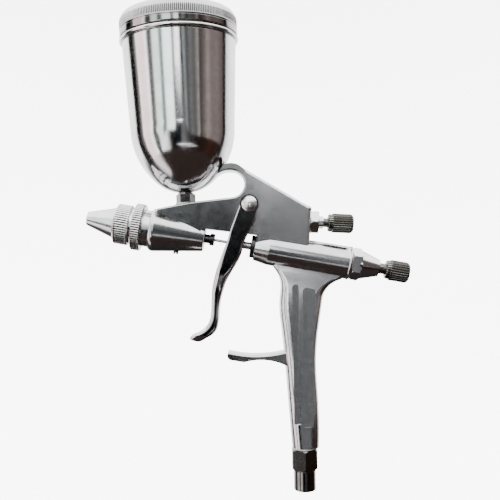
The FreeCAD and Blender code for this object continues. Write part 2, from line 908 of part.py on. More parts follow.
def make_fluid_knob():
    blind = d.needle_radius + 0.25
    corners = [
        (d.thrust_washer_end, blind),
        (d.thrust_washer_end, d.knob_stem_radius),
        (d.knob_front, d.knob_stem_radius),
        (d.knob_front, d.knob_shoulder_radius - 0.4),
        (d.knob_front + 0.4, d.knob_shoulder_radius),
        (d.knob_grip_front, d.knob_shoulder_radius),
        (d.knob_grip_front, d.knob_grip_radius),
        (d.knob_end - d.knob_rounding, d.knob_grip_radius),
        (d.knob_end, d.knob_grip_radius - d.knob_rounding, d.knob_rounding),
        (d.knob_end, 0),
        (d.knob_bore_end, 0),
        (d.knob_bore_end, blind),
    ]
    node(turned("FluidKnob", corners), "fluid_knob")


# ---------------------------------------------------------------- upper air knob


def make_air_knob():
    groove = d.oring_radius - d.oring_wire - 0.02
    half_groove = d.oring_wire + 0.1
    corners = [
        (d.air_needle_front, 0),
        (d.air_needle_front, 0.5),
        (d.air_needle_front + 3.5, d.air_needle_radius),
        (d.air_stem_front, d.air_needle_radius),
        (d.air_stem_front, d.air_stem_radius),
        (d.oring_station - half_groove, d.air_stem_radius),
        (d.oring_station - half_groove, groove),
        (d.oring_station + half_groove, groove),
        (d.oring_station + half_groove, d.air_stem_radius),
        (d.air_knob_front, d.air_stem_radius),
        (d.air_knob_front, d.air_knob_shoulder_radius - 0.4),
        (d.air_knob_front + 0.4, d.air_knob_shoulder_radius),
        (d.air_knob_grip_front, d.air_knob_shoulder_radius),
        (d.air_knob_grip_front, d.air_knob_grip_radius),
        (d.air_knob_end - d.knob_rounding, d.air_knob_grip_radius),
        (d.air_knob_end, d.air_knob_grip_radius - d.knob_rounding, d.knob_rounding),
        (d.air_knob_end, 0),
    ]
    node(turned("AirKnob", corners), "air_knob", AIR)
    oring = doc.addObject("Part::Torus", "AirKnobOring")
    bind(oring, Radius1=d.oring_radius, Radius2=d.oring_wire)
    place = Frame(
        d.air_axis_x + d.oring_station * cosine(d.air_axis_pitch),
        d.air_axis_z + d.oring_station * sine(d.air_axis_pitch),
        pitched(d.air_axis_pitch.value) * Rotation(Vector(0, 1, 0), 90),
    )
    node(oring, "air_knob_oring", place)


def make_air_gland():
    chamber = d.oring_radius + d.oring_wire + 0.08
    bore = d.air_stem_radius + d.running_gap
    corners = [
        (-d.air_gland_depth, chamber),
        (-d.air_gland_depth, d.air_gland_neck_radius),
        (0, d.air_gland_neck_radius),
        (0, d.air_gland_neck_radius + 1.4),
        (d.air_gland_hexagon_end, d.air_gland_neck_radius + 1.4),
        (d.air_gland_hexagon_end, d.air_gland_neck_radius),
        (d.air_gland_neck_end, d.air_gland_neck_radius),
        (d.air_gland_neck_end, bore),
        (1.2, bore),
        (1.2, chamber),
    ]
    core = turned("AirGlandCore", corners)
    outer = hexagon("AirGlandHexagon", 0, d.air_gland_hexagon_end, d.air_gland_across_flats, 30)
    trim = turned(
        "AirGlandTrim",
        [
            (0, d.air_gland_neck_radius + 0.5),
            (0, d.air_gland_across_flats / 2 + 0.05),
            (0.6, d.air_gland_across_flats / 2 + 0.6),
            (d.air_gland_hexagon_end - 0.6, d.air_gland_across_flats / 2 + 0.6),
            (d.air_gland_hexagon_end, d.air_gland_across_flats / 2 + 0.05),
            (d.air_gland_hexagon_end, d.air_gland_neck_radius + 0.5),
        ],
    )
    node(fuse("AirGland", [core, common("AirGlandGrip", outer, trim)]), "air_gland_nut", AIR)


# ---------------------------------------------------------------- cup and lid


def bullet(inset):
    """The corners of the cup's outside, from the pole to the mouth, drawn in by a wall thickness: a small
    arc at the pole, tangent to a large one that ends where the side wall starts."""
    pole = d.cup_pole_radius
    width = d.cup_bullet_radius
    length = d.cup_bullet_length
    flank = (width * width + length * length - 2 * length * pole) / (2 * (width - pole))
    centre = d.cup_bottom + length
    run = Size(
        f"sqrt(({(flank - width).text})^2 + ({(length - pole).text})^2)",
        math.hypot((flank - width).value, (length - pole).value),
    )
    joint_x = d.cup_bottom + pole - (length - pole) / run * pole
    joint_radius = (flank - width) / run * pole
    return [
        (d.cup_bottom + inset, 0),
        (
            joint_x + (length - pole) / run * inset,
            joint_radius - (flank - width) / run * inset,
            pole - inset,
        ),
        (centre, width - inset, flank - inset),
        (d.cup_mouth_station, d.cup_mouth_radius - inset),
    ]


def make_cup():
    outside = bullet(0 * d.cup_wall) + [
        (d.cup_rim_station, d.cup_rim_radius - d.cup_rim_wire),
        (d.cup_rim_station, d.cup_lip_radius),
        (d.cup_lip_end, d.cup_lip_radius),
        (d.cup_lip_end, 0),
    ]
    inside = bullet(d.cup_wall) + [
        (d.cup_rim_station + 0.6, d.cup_lip_radius - d.cup_wall),
        (d.cup_lip_end + 1, d.cup_lip_radius - d.cup_wall),
        (d.cup_lip_end + 1, 0),
    ]
    rim = doc.addObject("Part::Torus", "CupRim")
    bind(rim, Radius1=d.cup_rim_radius - d.cup_rim_wire, Radius2=d.cup_rim_wire)
    rim.Placement = Placement(Vector(d.cup_rim_station.value, 0, 0), Rotation(Vector(0, 1, 0), 90))
    bind(rim, Placement__Base__x=d.cup_rim_station)
    solid = fuse("CupSolid", [turned("CupOutside", outside), rim])
    hole = rod("CupHole", d.cup_bottom - 2, d.cup_bottom + 5, d.cup_neck_radius)
    node(cut("Cup", solid, [turned("CupInside", inside), hole]), "paint_cup", CUP)


def make_cup_neck():
    """The threaded spigot through the cup's bottom, with its nut and seal, and the flange inside the
    cup.
    """
    seat = d.cup_bottom + d.cup_wall + d.cup_neck_flange_lift
    foot = d.cup_boss_top
    corners = [
        (foot - d.cup_port_depth + 1.5, d.cup_neck_bore_radius),
        (foot - d.cup_port_depth + 1.5, d.cup_neck_radius),
        (seat, d.cup_neck_radius),
        (seat, d.cup_neck_flange_radius),
        (seat + d.cup_neck_flange_thickness, d.cup_neck_flange_radius - 0.3),
        (seat + d.cup_neck_flange_thickness, d.cup_neck_bore_radius),
    ]
    node(turned("CupNeck", corners), "cup_neck", CUP)
    seal_top = foot + d.cup_seal_thickness
    seal = ring("CupSeal", foot, seal_top, d.cup_neck_radius, d.cup_boss_radius - 0.2)
    node(seal, "cup_seal", CUP)
    nut = hexagon("CupNutBlank", seal_top, d.cup_nut_top, d.cup_nut_across_flats)
    collar = rod("CupNutCollar", d.cup_nut_top, d.cup_bottom - 0.05, d.cup_neck_collar_radius)
    bore = rod("CupNutBore", foot - 1, d.cup_bottom + 1, d.cup_neck_radius)
    node(cut("CupNut", fuse("CupNutSolid", [nut, collar]), [bore]), "cup_nut", CUP)


def make_lid():
    wall = d.lid_wall
    outer = d.lid_radius
    shoulder = d.lid_shoulder_radius
    under = d.cup_lip_end + d.gasket_thickness
    crown = d.lid_shoulder + shoulder
    rise = d.lid_dome_height - crown
    span = outer - shoulder
    dome = (span * span + rise * rise) / (2 * rise)
    corners = [
        (d.lid_front, outer - wall),
        (d.lid_front, outer - 0.25),
        (d.lid_front + 0.25, outer),
        (d.lid_shoulder, outer),
        (crown, outer - shoulder, shoulder),
        (d.lid_dome_height, 0, dome),
        (under, 0),
        (under, outer - wall),
    ]
    top = turned("LidSolid", corners)
    hollow = turned(
        "LidHollow",
        [
            (under - 1, 0),
            (under - 1, span - 1.5),
            (crown - 1.1, span - 1.5),
            (d.lid_dome_height - 1.1, 0, dome),
        ],
    )
    node(cut("Lid", top, [hollow]), "cup_lid", CUP)
    gasket = ring(
        "LidGasket", d.cup_lip_end, under, d.gasket_inner_radius, outer - wall - 0.05
    )
    node(gasket, "lid_gasket", CUP)


# ---------------------------------------------------------------- gun body


def plate_corners():
    """The outline of the flat plate with its hook, clockwise from the bottom front."""
    hook_right = d.hook_x + d.hook_radius
    hook_top = d.hook_z + d.hook_radius
    reach_x = d.hook_x - d.plate_bend
    reach_z = d.hook_z - d.plate_bend_height
    reach = math.hypot(reach_x.value, reach_z.value)
    slope = math.atan2(reach_z.value, reach_x.value) - math.asin(d.hook_radius.value / reach)
    return [
        (d.plate_front, 0),
        (d.plate_front, d.plate_front_height),
        (d.plate_bend, d.plate_bend_height),
        (d.hook_x + d.hook_radius * math.sin(slope), d.hook_z - d.hook_radius * math.cos(slope)),
        (hook_right, d.hook_z, -d.hook_radius),
        (d.hook_x, hook_top, -d.hook_radius),
        (d.hook_mouth_x, d.hook_mouth_z, -d.hook_mouth_radius),
        (d.hook_tip_x, d.hook_tip_z, d.hook_tip_rounding),
        (d.slope_x, d.slope_z, d.hook_back_radius),
        (d.plate_rear_top_x - 1.6, d.plate_rear_top_z + 0.62),
        (d.plate_rear_top_x + 0.25, d.plate_rear_top_z - 1.7, d.plate_corner_rounding),
        (d.plate_rear_x, d.plate_rear_z),
        (d.plate_rear_x, 0),
        (d.window_rear, 0),
        (d.window_rear, d.window_rear_height),
        (d.barrel_end - 2, d.window_front_height),
        (d.barrel_end - 2, 0),
    ]


def make_plate():
    """The plate, with its top and rear edges well rounded and the inside of the hook a little less."""
    plate = padded("Plate", plate_corners(), d.plate_half_thickness)
    half = d.plate_half_thickness.value
    highest = d.hook_z.value + d.hook_radius.value

    def on_side(edge):
        """Whether an edge lies in one of the two flat sides, above the window."""
        point = middle(edge)
        flat = edge.BoundBox.YLength < 0.01
        return flat and abs(abs(point.y) - half) < 0.01 and point.z > 6.2

    def outer_edge(edge):
        point = middle(edge)
        behind_hook = point.x > d.hook_x.value + d.hook_radius.value + 1
        return on_side(edge) and behind_hook

    def inner_edge(edge):
        point = middle(edge)
        ahead = point.x < d.hook_x.value + d.hook_radius.value + 0.5
        return on_side(edge) and ahead and point.z < highest and edge.Length > 2

    smooth = rounded("PlateRounded", plate, d.plate_rounding, outer_edge)
    return rounded("PlateSoftened", smooth, d.hook_rounding, inner_edge)


def section_wire(owner, number):
    """A level oblong cross-section with rounded corners, as a closed wire."""
    keys = ("height", "front", "rear", "half", "corner")
    level, front, rear, half, corner = (getattr(d, f"{owner}_section_{number}_{key}").value for key in keys)
    flat = half - corner
    bulge = corner * math.sqrt(0.5)
    rounds = []
    for x, y, outward_x, outward_y in (
        (front + corner, flat, -1, 1),
        (rear - corner, flat, 1, 1),
        (rear - corner, -flat, 1, -1),
        (front + corner, -flat, -1, -1),
    ):
        along_x = Vector(x + outward_x * corner, y, level)
        along_y = Vector(x, y + outward_y * corner, level)
        between = Vector(x + outward_x * bulge, y + outward_y * bulge, level)
        first, last = (along_x, along_y) if outward_x * outward_y < 0 else (along_y, along_x)
        rounds.append((first, between, last))
    edges = []
    for index, (first, between, last) in enumerate(rounds):
        edges.append(Part.Arc(first, between, last).toShape())
        edges.append(Part.LineSegment(last, rounds[(index + 1) % 4][0]).toShape())
    return Part.Wire(edges)


def lofted(name, owner):
    """A smooth solid through all the cross-sections of the handle or of the trigger."""
    wires = []
    for number in range(len(SECTIONS[owner])):
        wire = doc.addObject("Part::Feature", f"{name}Section{number}")
        wire.Shape = section_wire(owner, number)
        wires.append(wire)
    loft = doc.addObject("Part::Loft", name)
    loft.Sections = wires
    loft.Solid = True
    loft.Ruled = False
    loft.MaxDegree = 2
    return loft


def make_handle():
    """The pistol grip: a smooth loft through its sections, cut square to its own axis above the inlet."""
    handle = lofted("HandleBlank", "handle")
    below = d.inlet_hexagon_end + d.inlet_washer_thickness
    tools = [cylinder("HandleTrim", INLET, -20, below, 30)]
    for side in (-1, 1):
        for label, x, width, floor in (
            ("Narrow", d.narrow_flute_x, d.narrow_flute_width, d.narrow_flute_floor),
            ("Wide", d.wide_flute_x, d.wide_flute_width, d.wide_flute_floor),
        ):
            tools.append(make_flute(f"{label}Flute{side + 1}", side, x, width, floor))
    return cut("Handle", handle, tools)


def make_flute(name, side, x, width, floor):
    """A long round-ended channel in one side of the handle, running down along it."""
    body = doc.addObject("PartDesign::Body", name)
    half = width / 2
    corners = [
        (-half, -d.flute_length),
        (-half, -half),
        (0, 0, half),
        (half, -half, half),
        (half, -d.flute_length),
    ]
    pad = body.newObject("PartDesign::Pad", name + "Pad")
    pad.Profile = closed_sketch(body, "XZ_Plane", corners)
    pad.Reversed = side > 0
    bind(pad, Length=6)
    body.Tip = pad
    lean = Rotation(Vector(0, 1, 0), -d.handle_lean.value)
    tilt = Rotation(Vector(1, 0, 0), side * d.flute_tilt.value)
    body.Placement = Placement(Vector(x.value, side * floor.value, d.flute_top.value), lean * tilt)
    bind(body, Placement__Base__x=x, Placement__Base__y=side * floor, Placement__Base__z=d.flute_top)
    return body


def make_finger_rest():
    """The horn on the front of the handle that the second finger carries the gun by."""
    half = d.rest_thickness / 2
    root = d.rest_root_thickness / 2
    corners = [
        (d.rest_tip_x + half, d.rest_tip_z - half),
        (d.rest_tip_x + half * 0.2, d.rest_tip_z + half, half * 1.2),
        (d.rest_root_x, d.rest_root_z + root, -52),
        (d.rest_root_x, d.rest_root_z - root),
        (d.rest_tip_x + 8, d.rest_tip_z - half, -26),
    ]
    horn = padded("FingerRestBlank", corners, d.rest_half_width)
    side = d.rest_half_width.value

    def long_edge(edge):
        point = middle(edge)
        level = abs(abs(point.y) - side) < 0.01 and edge.BoundBox.YLength < 0.01
        return level and edge.Length > d.rest_root_thickness.value

    return rounded("FingerRest", horn, d.rest_rounding, long_edge)


def make_gun_body():
    barrel = turned(
        "FrontBarrel",
        [
            (d.barrel_front, 0),
            (d.barrel_front, d.barrel_front_radius),
            (d.barrel_shoulder, d.barrel_shoulder_radius, 2.6),
            (d.barrel_end - 0.5, d.barrel_end_radius + 0.08),
            (d.barrel_end, d.barrel_end_radius - 0.45, 0.55),
            (d.barrel_end, 0),
        ],
    )
    rear = turned(
        "RearBarrel",
        [
            (d.gland_flange_end, 0),
            (d.gland_flange_end, d.rear_barrel_radius - 0.3),
            (d.gland_flange_end + 0.3, d.rear_barrel_radius),
            (d.rear_barrel_shoulder, d.rear_barrel_shoulder_radius),
            (d.rear_barrel_end - 1.2, d.rear_barrel_end_radius),
            (d.rear_barrel_end, d.rear_barrel_end_radius - 0.1, 0.75),
            (d.rear_barrel_end, 0),
        ],
    )
    boss = cylinder("CupBoss", CUP, -6, d.cup_boss_top, d.cup_boss_radius)
    pieces = [make_plate(), barrel, rear, boss, make_handle(), make_finger_rest()]
    solid = fuse("BodySolid", pieces)
    node(cut("GunBody", solid, body_bores()), "gun_body")


def body_bores():
    """Everything cut out of the casting: the paint line, the air valve, the knob's gallery, the air
    ways, the seat of the cup's seal and the room round the cup.
    """
    washer_end = d.nozzle_end + d.nozzle_washer_thickness
    end = d.rear_barrel_end + 1
    below = d.inlet_hexagon_end + d.inlet_washer_thickness
    shank = below + d.inlet_shank_length
    riser = Frame(d.riser_x, 0, pitched(90))
    valve_riser = Frame(d.riser_x + 7, 0, pitched(90))
    front_reach = -(d.air_axis_x - d.barrel_front) / cosine(d.air_axis_pitch) - 0.2
    grub = Frame(d.grub_station, -d.grub_reach, pitched(90))
    tools = [
        cylinder("HeadBore", GUN, d.barrel_front - 1, d.head_shank_end, d.head_shank_radius),
        cylinder("NozzleBore", GUN, d.barrel_front, washer_end, d.nozzle_body_radius),
        cylinder("PaintBore", GUN, d.barrel_front, d.packing_front, d.paint_bore_radius),
        cylinder("PackingBore", GUN, d.packing_front, d.barrel_end + 1, d.packing_radius),
        cylinder("GrubBore", grub, -3, d.grub_length, d.grub_radius),
        cylinder("GlandBore", GUN, d.gland_flange_end - 1, d.valve_packing_end, d.gland_thread_radius),
        cylinder("FrontChamber", GUN, d.gland_flange_end, d.valve_seat_front, d.front_chamber_radius),
        cylinder("ValveSeat", GUN, d.gland_flange_end, d.valve_seat_end, d.valve_seat_radius),
        cylinder("RearBore", GUN, d.valve_seat_end, end, d.rear_bore_radius),
        cylinder("Riser", riser, 0, 14, 1.2),
        cylinder("AirGlandBore", AIR, -d.air_gland_depth, 3, d.air_gland_neck_radius),
        cylinder("AirGallery", AIR, -d.air_passage_depth, 1, d.air_passage_radius),
        cylinder("CupPort", CUP, d.cup_boss_top - d.cup_port_depth, 1, d.cup_neck_radius),
        cylinder("CupSeat", CUP, d.cup_boss_top, d.cup_nut_top, d.cup_boss_radius + 0.2),
        cup_room(),
        cylinder("CupDrop", CUP, -16, 0, d.paint_bore_radius),
        cylinder("InletBore", INLET, 0, shank, d.inlet_shank_radius),
        cylinder("HandleBore", INLET, 0, d.nozzle_height - d.handle_bore_top, d.inlet_bore_radius),
        cylinder("HandleRiser", valve_riser, -16, 0, 2.0),
    ]
    for side in (-1, 1):
        offset = side * d.side_passage_offset
        deep = -d.air_passage_depth + 1
        name = f"SideWay{side + 1}"
        tools.append(cylinder(name, AIR, front_reach, deep, d.side_passage_radius, offset))
        tools.append(cross_way(f"CrossWay{side + 1}", side))
    pin = doc.addObject("Part::Cylinder", "PivotBore")
    bind(pin, Radius=d.pivot_radius, Height=20)
    pin.Placement = along(PIVOT, -10)
    tools.append(pin)
    return tools


def cup_room():
    """The cup's outside let out a little, which the horn has to stay clear of."""
    tool = turned("CupRoom", bullet(-d.cup_clearance) + [(d.cup_mouth_station, 0)])
    tool.Placement = Placement(Vector(CUP.x.value, 0, CUP.z.value), CUP.rotation)
    bind(tool, Placement__Base__x=CUP.x, Placement__Base__z=CUP.z)
    return tool


def cross_way(name, side):
    """The short cross drilling that joins a side air way to the knob's gallery."""
    tool = doc.addObject("Part::Cylinder", name)
    bind(tool, Radius=d.side_passage_radius, Height=d.side_passage_offset)
    centre = along(AIR, -d.air_passage_depth.value + 1.2).Base
    tool.Placement = Placement(centre, Rotation(Vector(1, 0, 0), -90 * side))
    return tool


# ---------------------------------------------------------------- trigger and its pivot


def make_trigger():
    """The trigger: a channel open at the back, whose two arms carry the pivot and whose front web
    pushes the valve stem. The web has a slot for the needle. Below the channel it is a solid finger
    blade that curls forward.
    """
    blank = lofted("TriggerBlank", "trigger")
    reach = d.trigger_half_width
    eye = cylinder("TriggerEye", PIVOT, -reach, reach, d.trigger_eye_radius)
    inner = d.trigger_inner_half_width
    web = d.trigger_web_rear
    channel = padded(
        "TriggerChannel",
        [
            (50, d.trigger_web_top),
            (50, 30),
            (90, 30),
            (90, d.trigger_pocket_bottom),
            (web - 1.0, d.trigger_pocket_bottom),
            (web - 2.2, d.trigger_pocket_bottom + 1.2, 1.3),
            (web - 1.1, -6.2),
            (web, -0.6),
            (web + 0.7, d.trigger_web_top),
        ],
        inner,
    )
    middle_height = d.trigger_slot_height
    needle_slot = block(
        "TriggerNeedleSlot",
        (web - 5, web + 5),
        (-d.trigger_slot_half_width, d.trigger_slot_half_width),
        (middle_height - d.trigger_slot_half_height, middle_height + d.trigger_slot_half_height),
    )
    pin = cylinder("TriggerEyeBore", PIVOT, -12, 12, d.pivot_radius + d.running_gap)
    solid = fuse("TriggerSolid", [blank, eye])
    node(cut("Trigger", solid, [channel, needle_slot, pin]), "trigger")


def make_pivot():
    """The pivot screw, its domed and dimpled head outside one arm, and the nut outside the other."""
    arm = d.trigger_half_width + 0.1
    radius = d.pivot_head_radius
    height = d.pivot_head_height
    dome = (radius * radius + height * height) / (2 * height)
    corners = [
        (-arm - d.pivot_nut_height - 0.4, 0),
        (-arm - d.pivot_nut_height - 0.4, d.pivot_radius - 0.2),
        (-arm - d.pivot_nut_height - 0.2, d.pivot_radius),
        (arm, d.pivot_radius),
        (arm, radius),
        (arm + 0.4, radius),
        (arm + 0.4 + height, 0, dome),
    ]
    blank = turned("PivotBlank", corners)
    dimple = doc.addObject("Part::Sphere", "PivotDimple")
    bind(dimple, Radius=d.pivot_dimple_radius)
    reach = arm + 0.6 + height
    dimple.Placement = Placement(Vector(reach.value, 0, 0), Rotation())
    bind(dimple, Placement__Base__x=reach)
    node(cut("PivotScrew", blank, [dimple]), "pivot_screw", PIVOT)
    nut = hexagon("PivotNutBlank", -arm - d.pivot_nut_height, -arm, d.pivot_nut_across_flats)
    hole = rod("PivotNutBore", -arm - 3, -arm + 1, d.pivot_radius)
    node(cut("PivotNut", nut, [hole]), "pivot_nut", PIVOT)


# ---------------------------------------------------------------- air inlet


def make_inlet():
    """The air inlet: a thread for the hose, a hexagon, and a shank screwed into the handle."""
    top = d.inlet_hexagon_end + d.inlet_washer_thickness
    corners = [
        (0, d.inlet_bore_radius),
        (0, d.inlet_thread_radius - d.inlet_chamfer),
        (d.inlet_chamfer, d.inlet_thread_radius),
        (d.inlet_thread_end - 0.6, d.inlet_thread_radius),
        (d.inlet_thread_end - 0.6, d.inlet_thread_radius - 0.3),
        (d.inlet_thread_end, d.inlet_thread_radius - 0.3),
        (d.inlet_thread_end, d.inlet_thread_radius),
        (d.inlet_hexagon_end, d.inlet_thread_radius),
        (d.inlet_hexagon_end, d.inlet_shank_radius),
        (top + d.inlet_shank_length, d.inlet_shank_radius),
        (top + d.inlet_shank_length, d.inlet_bore_radius),
    ]
    core = turned("InletCore", corners)
    outer = hexagon(
        "InletHexagon", d.inlet_thread_end, d.inlet_hexagon_end, d.inlet_across_flats, 30
    )
    half = d.inlet_across_flats / 2
    trim = turned(
        "InletTrim",
        [
            (d.inlet_thread_end, d.inlet_bore_radius + 1.5),
            (d.inlet_thread_end, half - 0.05),
            (d.inlet_thread_end + 0.8, half + 0.85),
            (d.inlet_hexagon_end - 0.8, half + 0.85),
            (d.inlet_hexagon_end, half - 0.05),
            (d.inlet_hexagon_end, d.inlet_bore_radius + 1.5),
        ],
    )
    node(fuse("Inlet", [core, common("InletGrip", outer, trim)]), "air_inlet", INLET)
    washer = ring(
        "InletWasher", d.inlet_hexagon_end, top, d.inlet_shank_radius, d.inlet_washer_radius
    )
    node(washer, "inlet_washer", INLET)


# ---------------------------------------------------------------- build, check and write


def main():
    make_air_cap()
    make_cap_ring()
    make_lock_ring()
    make_head()
    make_nozzle()
    make_needle()
    make_packing()
    make_grub_screw()
    make_air_valve()
    make_chuck()
    make_rear_cap()
    make_fluid_knob()
    make_air_knob()
    make_air_gland()
    make_cup()
    make_cup_neck()
    make_lid()
    make_gun_body()
    make_trigger()
    make_pivot()
    make_inlet()
    doc.recompute()
    for item in doc.Objects:
        if "Invalid" in item.State or "Error" in item.State:
            raise RuntimeError(f"{item.Name} ({item.Label}) failed to compute: {item.State}")
    os.makedirs("parts", exist_ok=True)
    for piece in nodes:
        shape = piece.Shape
        if shape.isNull() or not shape.isValid():
            raise RuntimeError(f"{piece.Label} has no valid shape")
        print(piece.Label, len(shape.Solids), round(shape.Volume, 2))
        shape.exportStep(f"parts/{piece.Label}.step")


main()
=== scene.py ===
import math

import bmesh
import bpy
from mathutils import Matrix, Vector


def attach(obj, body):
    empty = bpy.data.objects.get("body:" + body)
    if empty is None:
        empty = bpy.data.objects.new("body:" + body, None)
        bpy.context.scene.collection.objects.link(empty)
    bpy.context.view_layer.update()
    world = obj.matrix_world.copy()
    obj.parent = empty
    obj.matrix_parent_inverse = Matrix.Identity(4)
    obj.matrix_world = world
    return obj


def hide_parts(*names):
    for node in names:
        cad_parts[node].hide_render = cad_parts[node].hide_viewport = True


# Looks for the spray gun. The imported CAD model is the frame. Turned, knurled and ribbed pieces are rebuilt here in
# full detail and replace their plain CAD nodes; the castings and the inner parts keep the CAD shape and get
# procedural materials. Lengths in the tables are millimetres, as in the CAD.

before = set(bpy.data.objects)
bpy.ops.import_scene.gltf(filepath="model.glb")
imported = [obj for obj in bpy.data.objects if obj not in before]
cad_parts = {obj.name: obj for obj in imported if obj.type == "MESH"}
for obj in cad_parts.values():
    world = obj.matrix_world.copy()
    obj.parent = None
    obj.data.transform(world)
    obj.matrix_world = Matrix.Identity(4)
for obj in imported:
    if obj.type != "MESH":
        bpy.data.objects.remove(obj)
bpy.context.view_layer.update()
MM = 0.001
NOZZLE_REACH = 116.7
NOZZLE_HEIGHT = 103.3
# shading stays flat along a straight run this long or longer, from this far inside its ends
LONG_RUN = 0.6
SUPPORT = 0.08
# stations along a knurl are at most this far apart
KNURL_STEP = 0.22
CAMERA_ROLL = 9.7


# ---------------------------------------------------------------- frames of the pieces


def place_of(x, z):
    """A place in metres, from millimetres rearward of the nozzle tip and above the nozzle line."""
    return Vector(((NOZZLE_REACH - x) * MM, 0, (NOZZLE_HEIGHT + z) * MM))


def axis_frame(x, z, direction):
    """A matrix whose x axis runs along a direction in the mid-plane, from a place in the gun's own coordinates."""
    along = Vector(direction).normalized()
    side = Vector((0, 1, 0))
    up = along.cross(side).normalized()
    matrix = Matrix((along, side, up)).transposed().to_4x4()
    matrix.translation = place_of(x, z)
    return matrix


def tilted(degrees):
    """The cosine and the sine of a lean."""
    return math.cos(math.radians(degrees)), math.sin(math.radians(degrees))


AIR_COSINE, AIR_SINE = tilted(7.26)
CUP_COSINE, CUP_SINE = tilted(12.2)
BARREL = axis_frame(0, 0, (-1, 0, 0))
AIR = axis_frame(98.6, 15.16, (-AIR_COSINE, 0, AIR_SINE))
CUP = axis_frame(42.1, 15.6, (CUP_SINE, 0, CUP_COSINE))


# ---------------------------------------------------------------- mesh building


def soften(corners):
    """Replaces each corner (x, r, rounding) of a profile with a small arc; corners without rounding stay."""
    points = []
    for number, corner in enumerate(corners):
        if len(corner) < 3 or corner[2] <= 0 or number in (0, len(corners) - 1):
            points.append((corner[0], corner[1]))
            continue
        here = Vector(corner[:2])
        before = Vector(corners[number - 1][:2]) - here
        after = Vector(corners[number + 1][:2]) - here
        cosine = max(-1.0, min(1.0, before.normalized().dot(after.normalized())))
        half = math.acos(cosine) / 2
        if half > 1.54 or half < 0.05:
            points.append((corner[0], corner[1]))
            continue
        reach = corner[2] / math.tan(half)
        reach = min(reach, before.length * 0.48, after.length * 0.48)
        start = here + before.normalized() * reach
        end = here + after.normalized() * reach
        steps = max(3, int(math.degrees(math.pi - 2 * half) / 9))
        for step in range(steps + 1):
            share = step / steps
            first = start.lerp(here, share)
            second = here.lerp(end, share)
            point = first.lerp(second, share)
            points.append((point.x, point.y))
    return points


def mesh_object(name, vertices, faces, uvs=None, sharp=0.6):
    """A smooth-shaded object whose edges are sharp above an angle in radians."""
    mesh = bpy.data.meshes.new(name)
    mesh.from_pydata(vertices, [], faces)
    if uvs:
        layer = mesh.uv_layers.new(name="UVMap")
        for polygon in mesh.polygons:
            for loop, corner in zip(polygon.loop_indices, uvs[polygon.index]):
                layer.data[loop].uv = corner
    builder = bmesh.new()
    builder.from_mesh(mesh)
    bmesh.ops.remove_doubles(builder, verts=builder.verts, dist=1e-7)
    bmesh.ops.recalc_face_normals(builder, faces=builder.faces)
    for edge in builder.edges:
        edge.smooth = len(edge.link_faces) == 2 and edge.calc_face_angle(0) < sharp
    for face in builder.faces:
        face.smooth = True
    builder.to_mesh(mesh)
    builder.free()
    piece = bpy.data.objects.new(name, mesh)
    bpy.context.scene.collection.objects.link(piece)
    return piece


def along_run(start, end, share):
    """The point at a share of the way from one profile point to another."""
    return start[0] + (end[0] - start[0]) * share, start[1] + (end[1] - start[1]) * share


def run_length(start, end):
    return math.hypot(end[0] - start[0], end[1] - start[1])


def supported(points, closed):
    """Adds a point close to each end of every long straight run, so that smooth shading stays in the corners."""
    result = [points[0]]
    ends = points[1:] + ([points[0]] if closed else [])
    for end in ends:
        start = result[-1]
        length = run_length(start, end)
        if length > LONG_RUN:
            result += [along_run(start, end, SUPPORT / length), along_run(start, end, 1 - SUPPORT / length)]
        result.append(end)
    if closed:
        result.pop()
    return result


def knurl_points(points, teeth):
    """Adds stations along the runs that a knurl crosses, so that its valleys have vertices to sink."""
    dense = [points[0]]
    for start, end in zip(points, points[1:]):
        extra = 1
        reach = abs(end[0] - start[0])
        for low, high, _, _, _ in teeth:
            crossed = min(start[0], end[0]) < high and max(start[0], end[0]) > low
            if crossed and (start[1] == end[1] or reach > 0.5):
                extra = max(extra, int(reach / KNURL_STEP) + 1)
        dense += [along_run(start, end, step / extra) for step in range(1, extra + 1)]
    return dense


def knurled_radius(x, radius, angle, corners, teeth):
    """The radius at an angle round the piece, less the depth of any valley there."""
    reach = radius
    for low, high, count, depth, ramp in teeth:
        if low <= x <= high and radius > teeth_floor(corners, low, high):
            fade = min(1.0, (x - low) / ramp, (high - x) / ramp)
            phase = (angle * count / (2 * math.pi)) % 1.0
            valley = max(0.0, 1 - abs(phase - 0.5) / 0.34)
            reach -= depth * valley * max(fade, 0.0)
    return reach


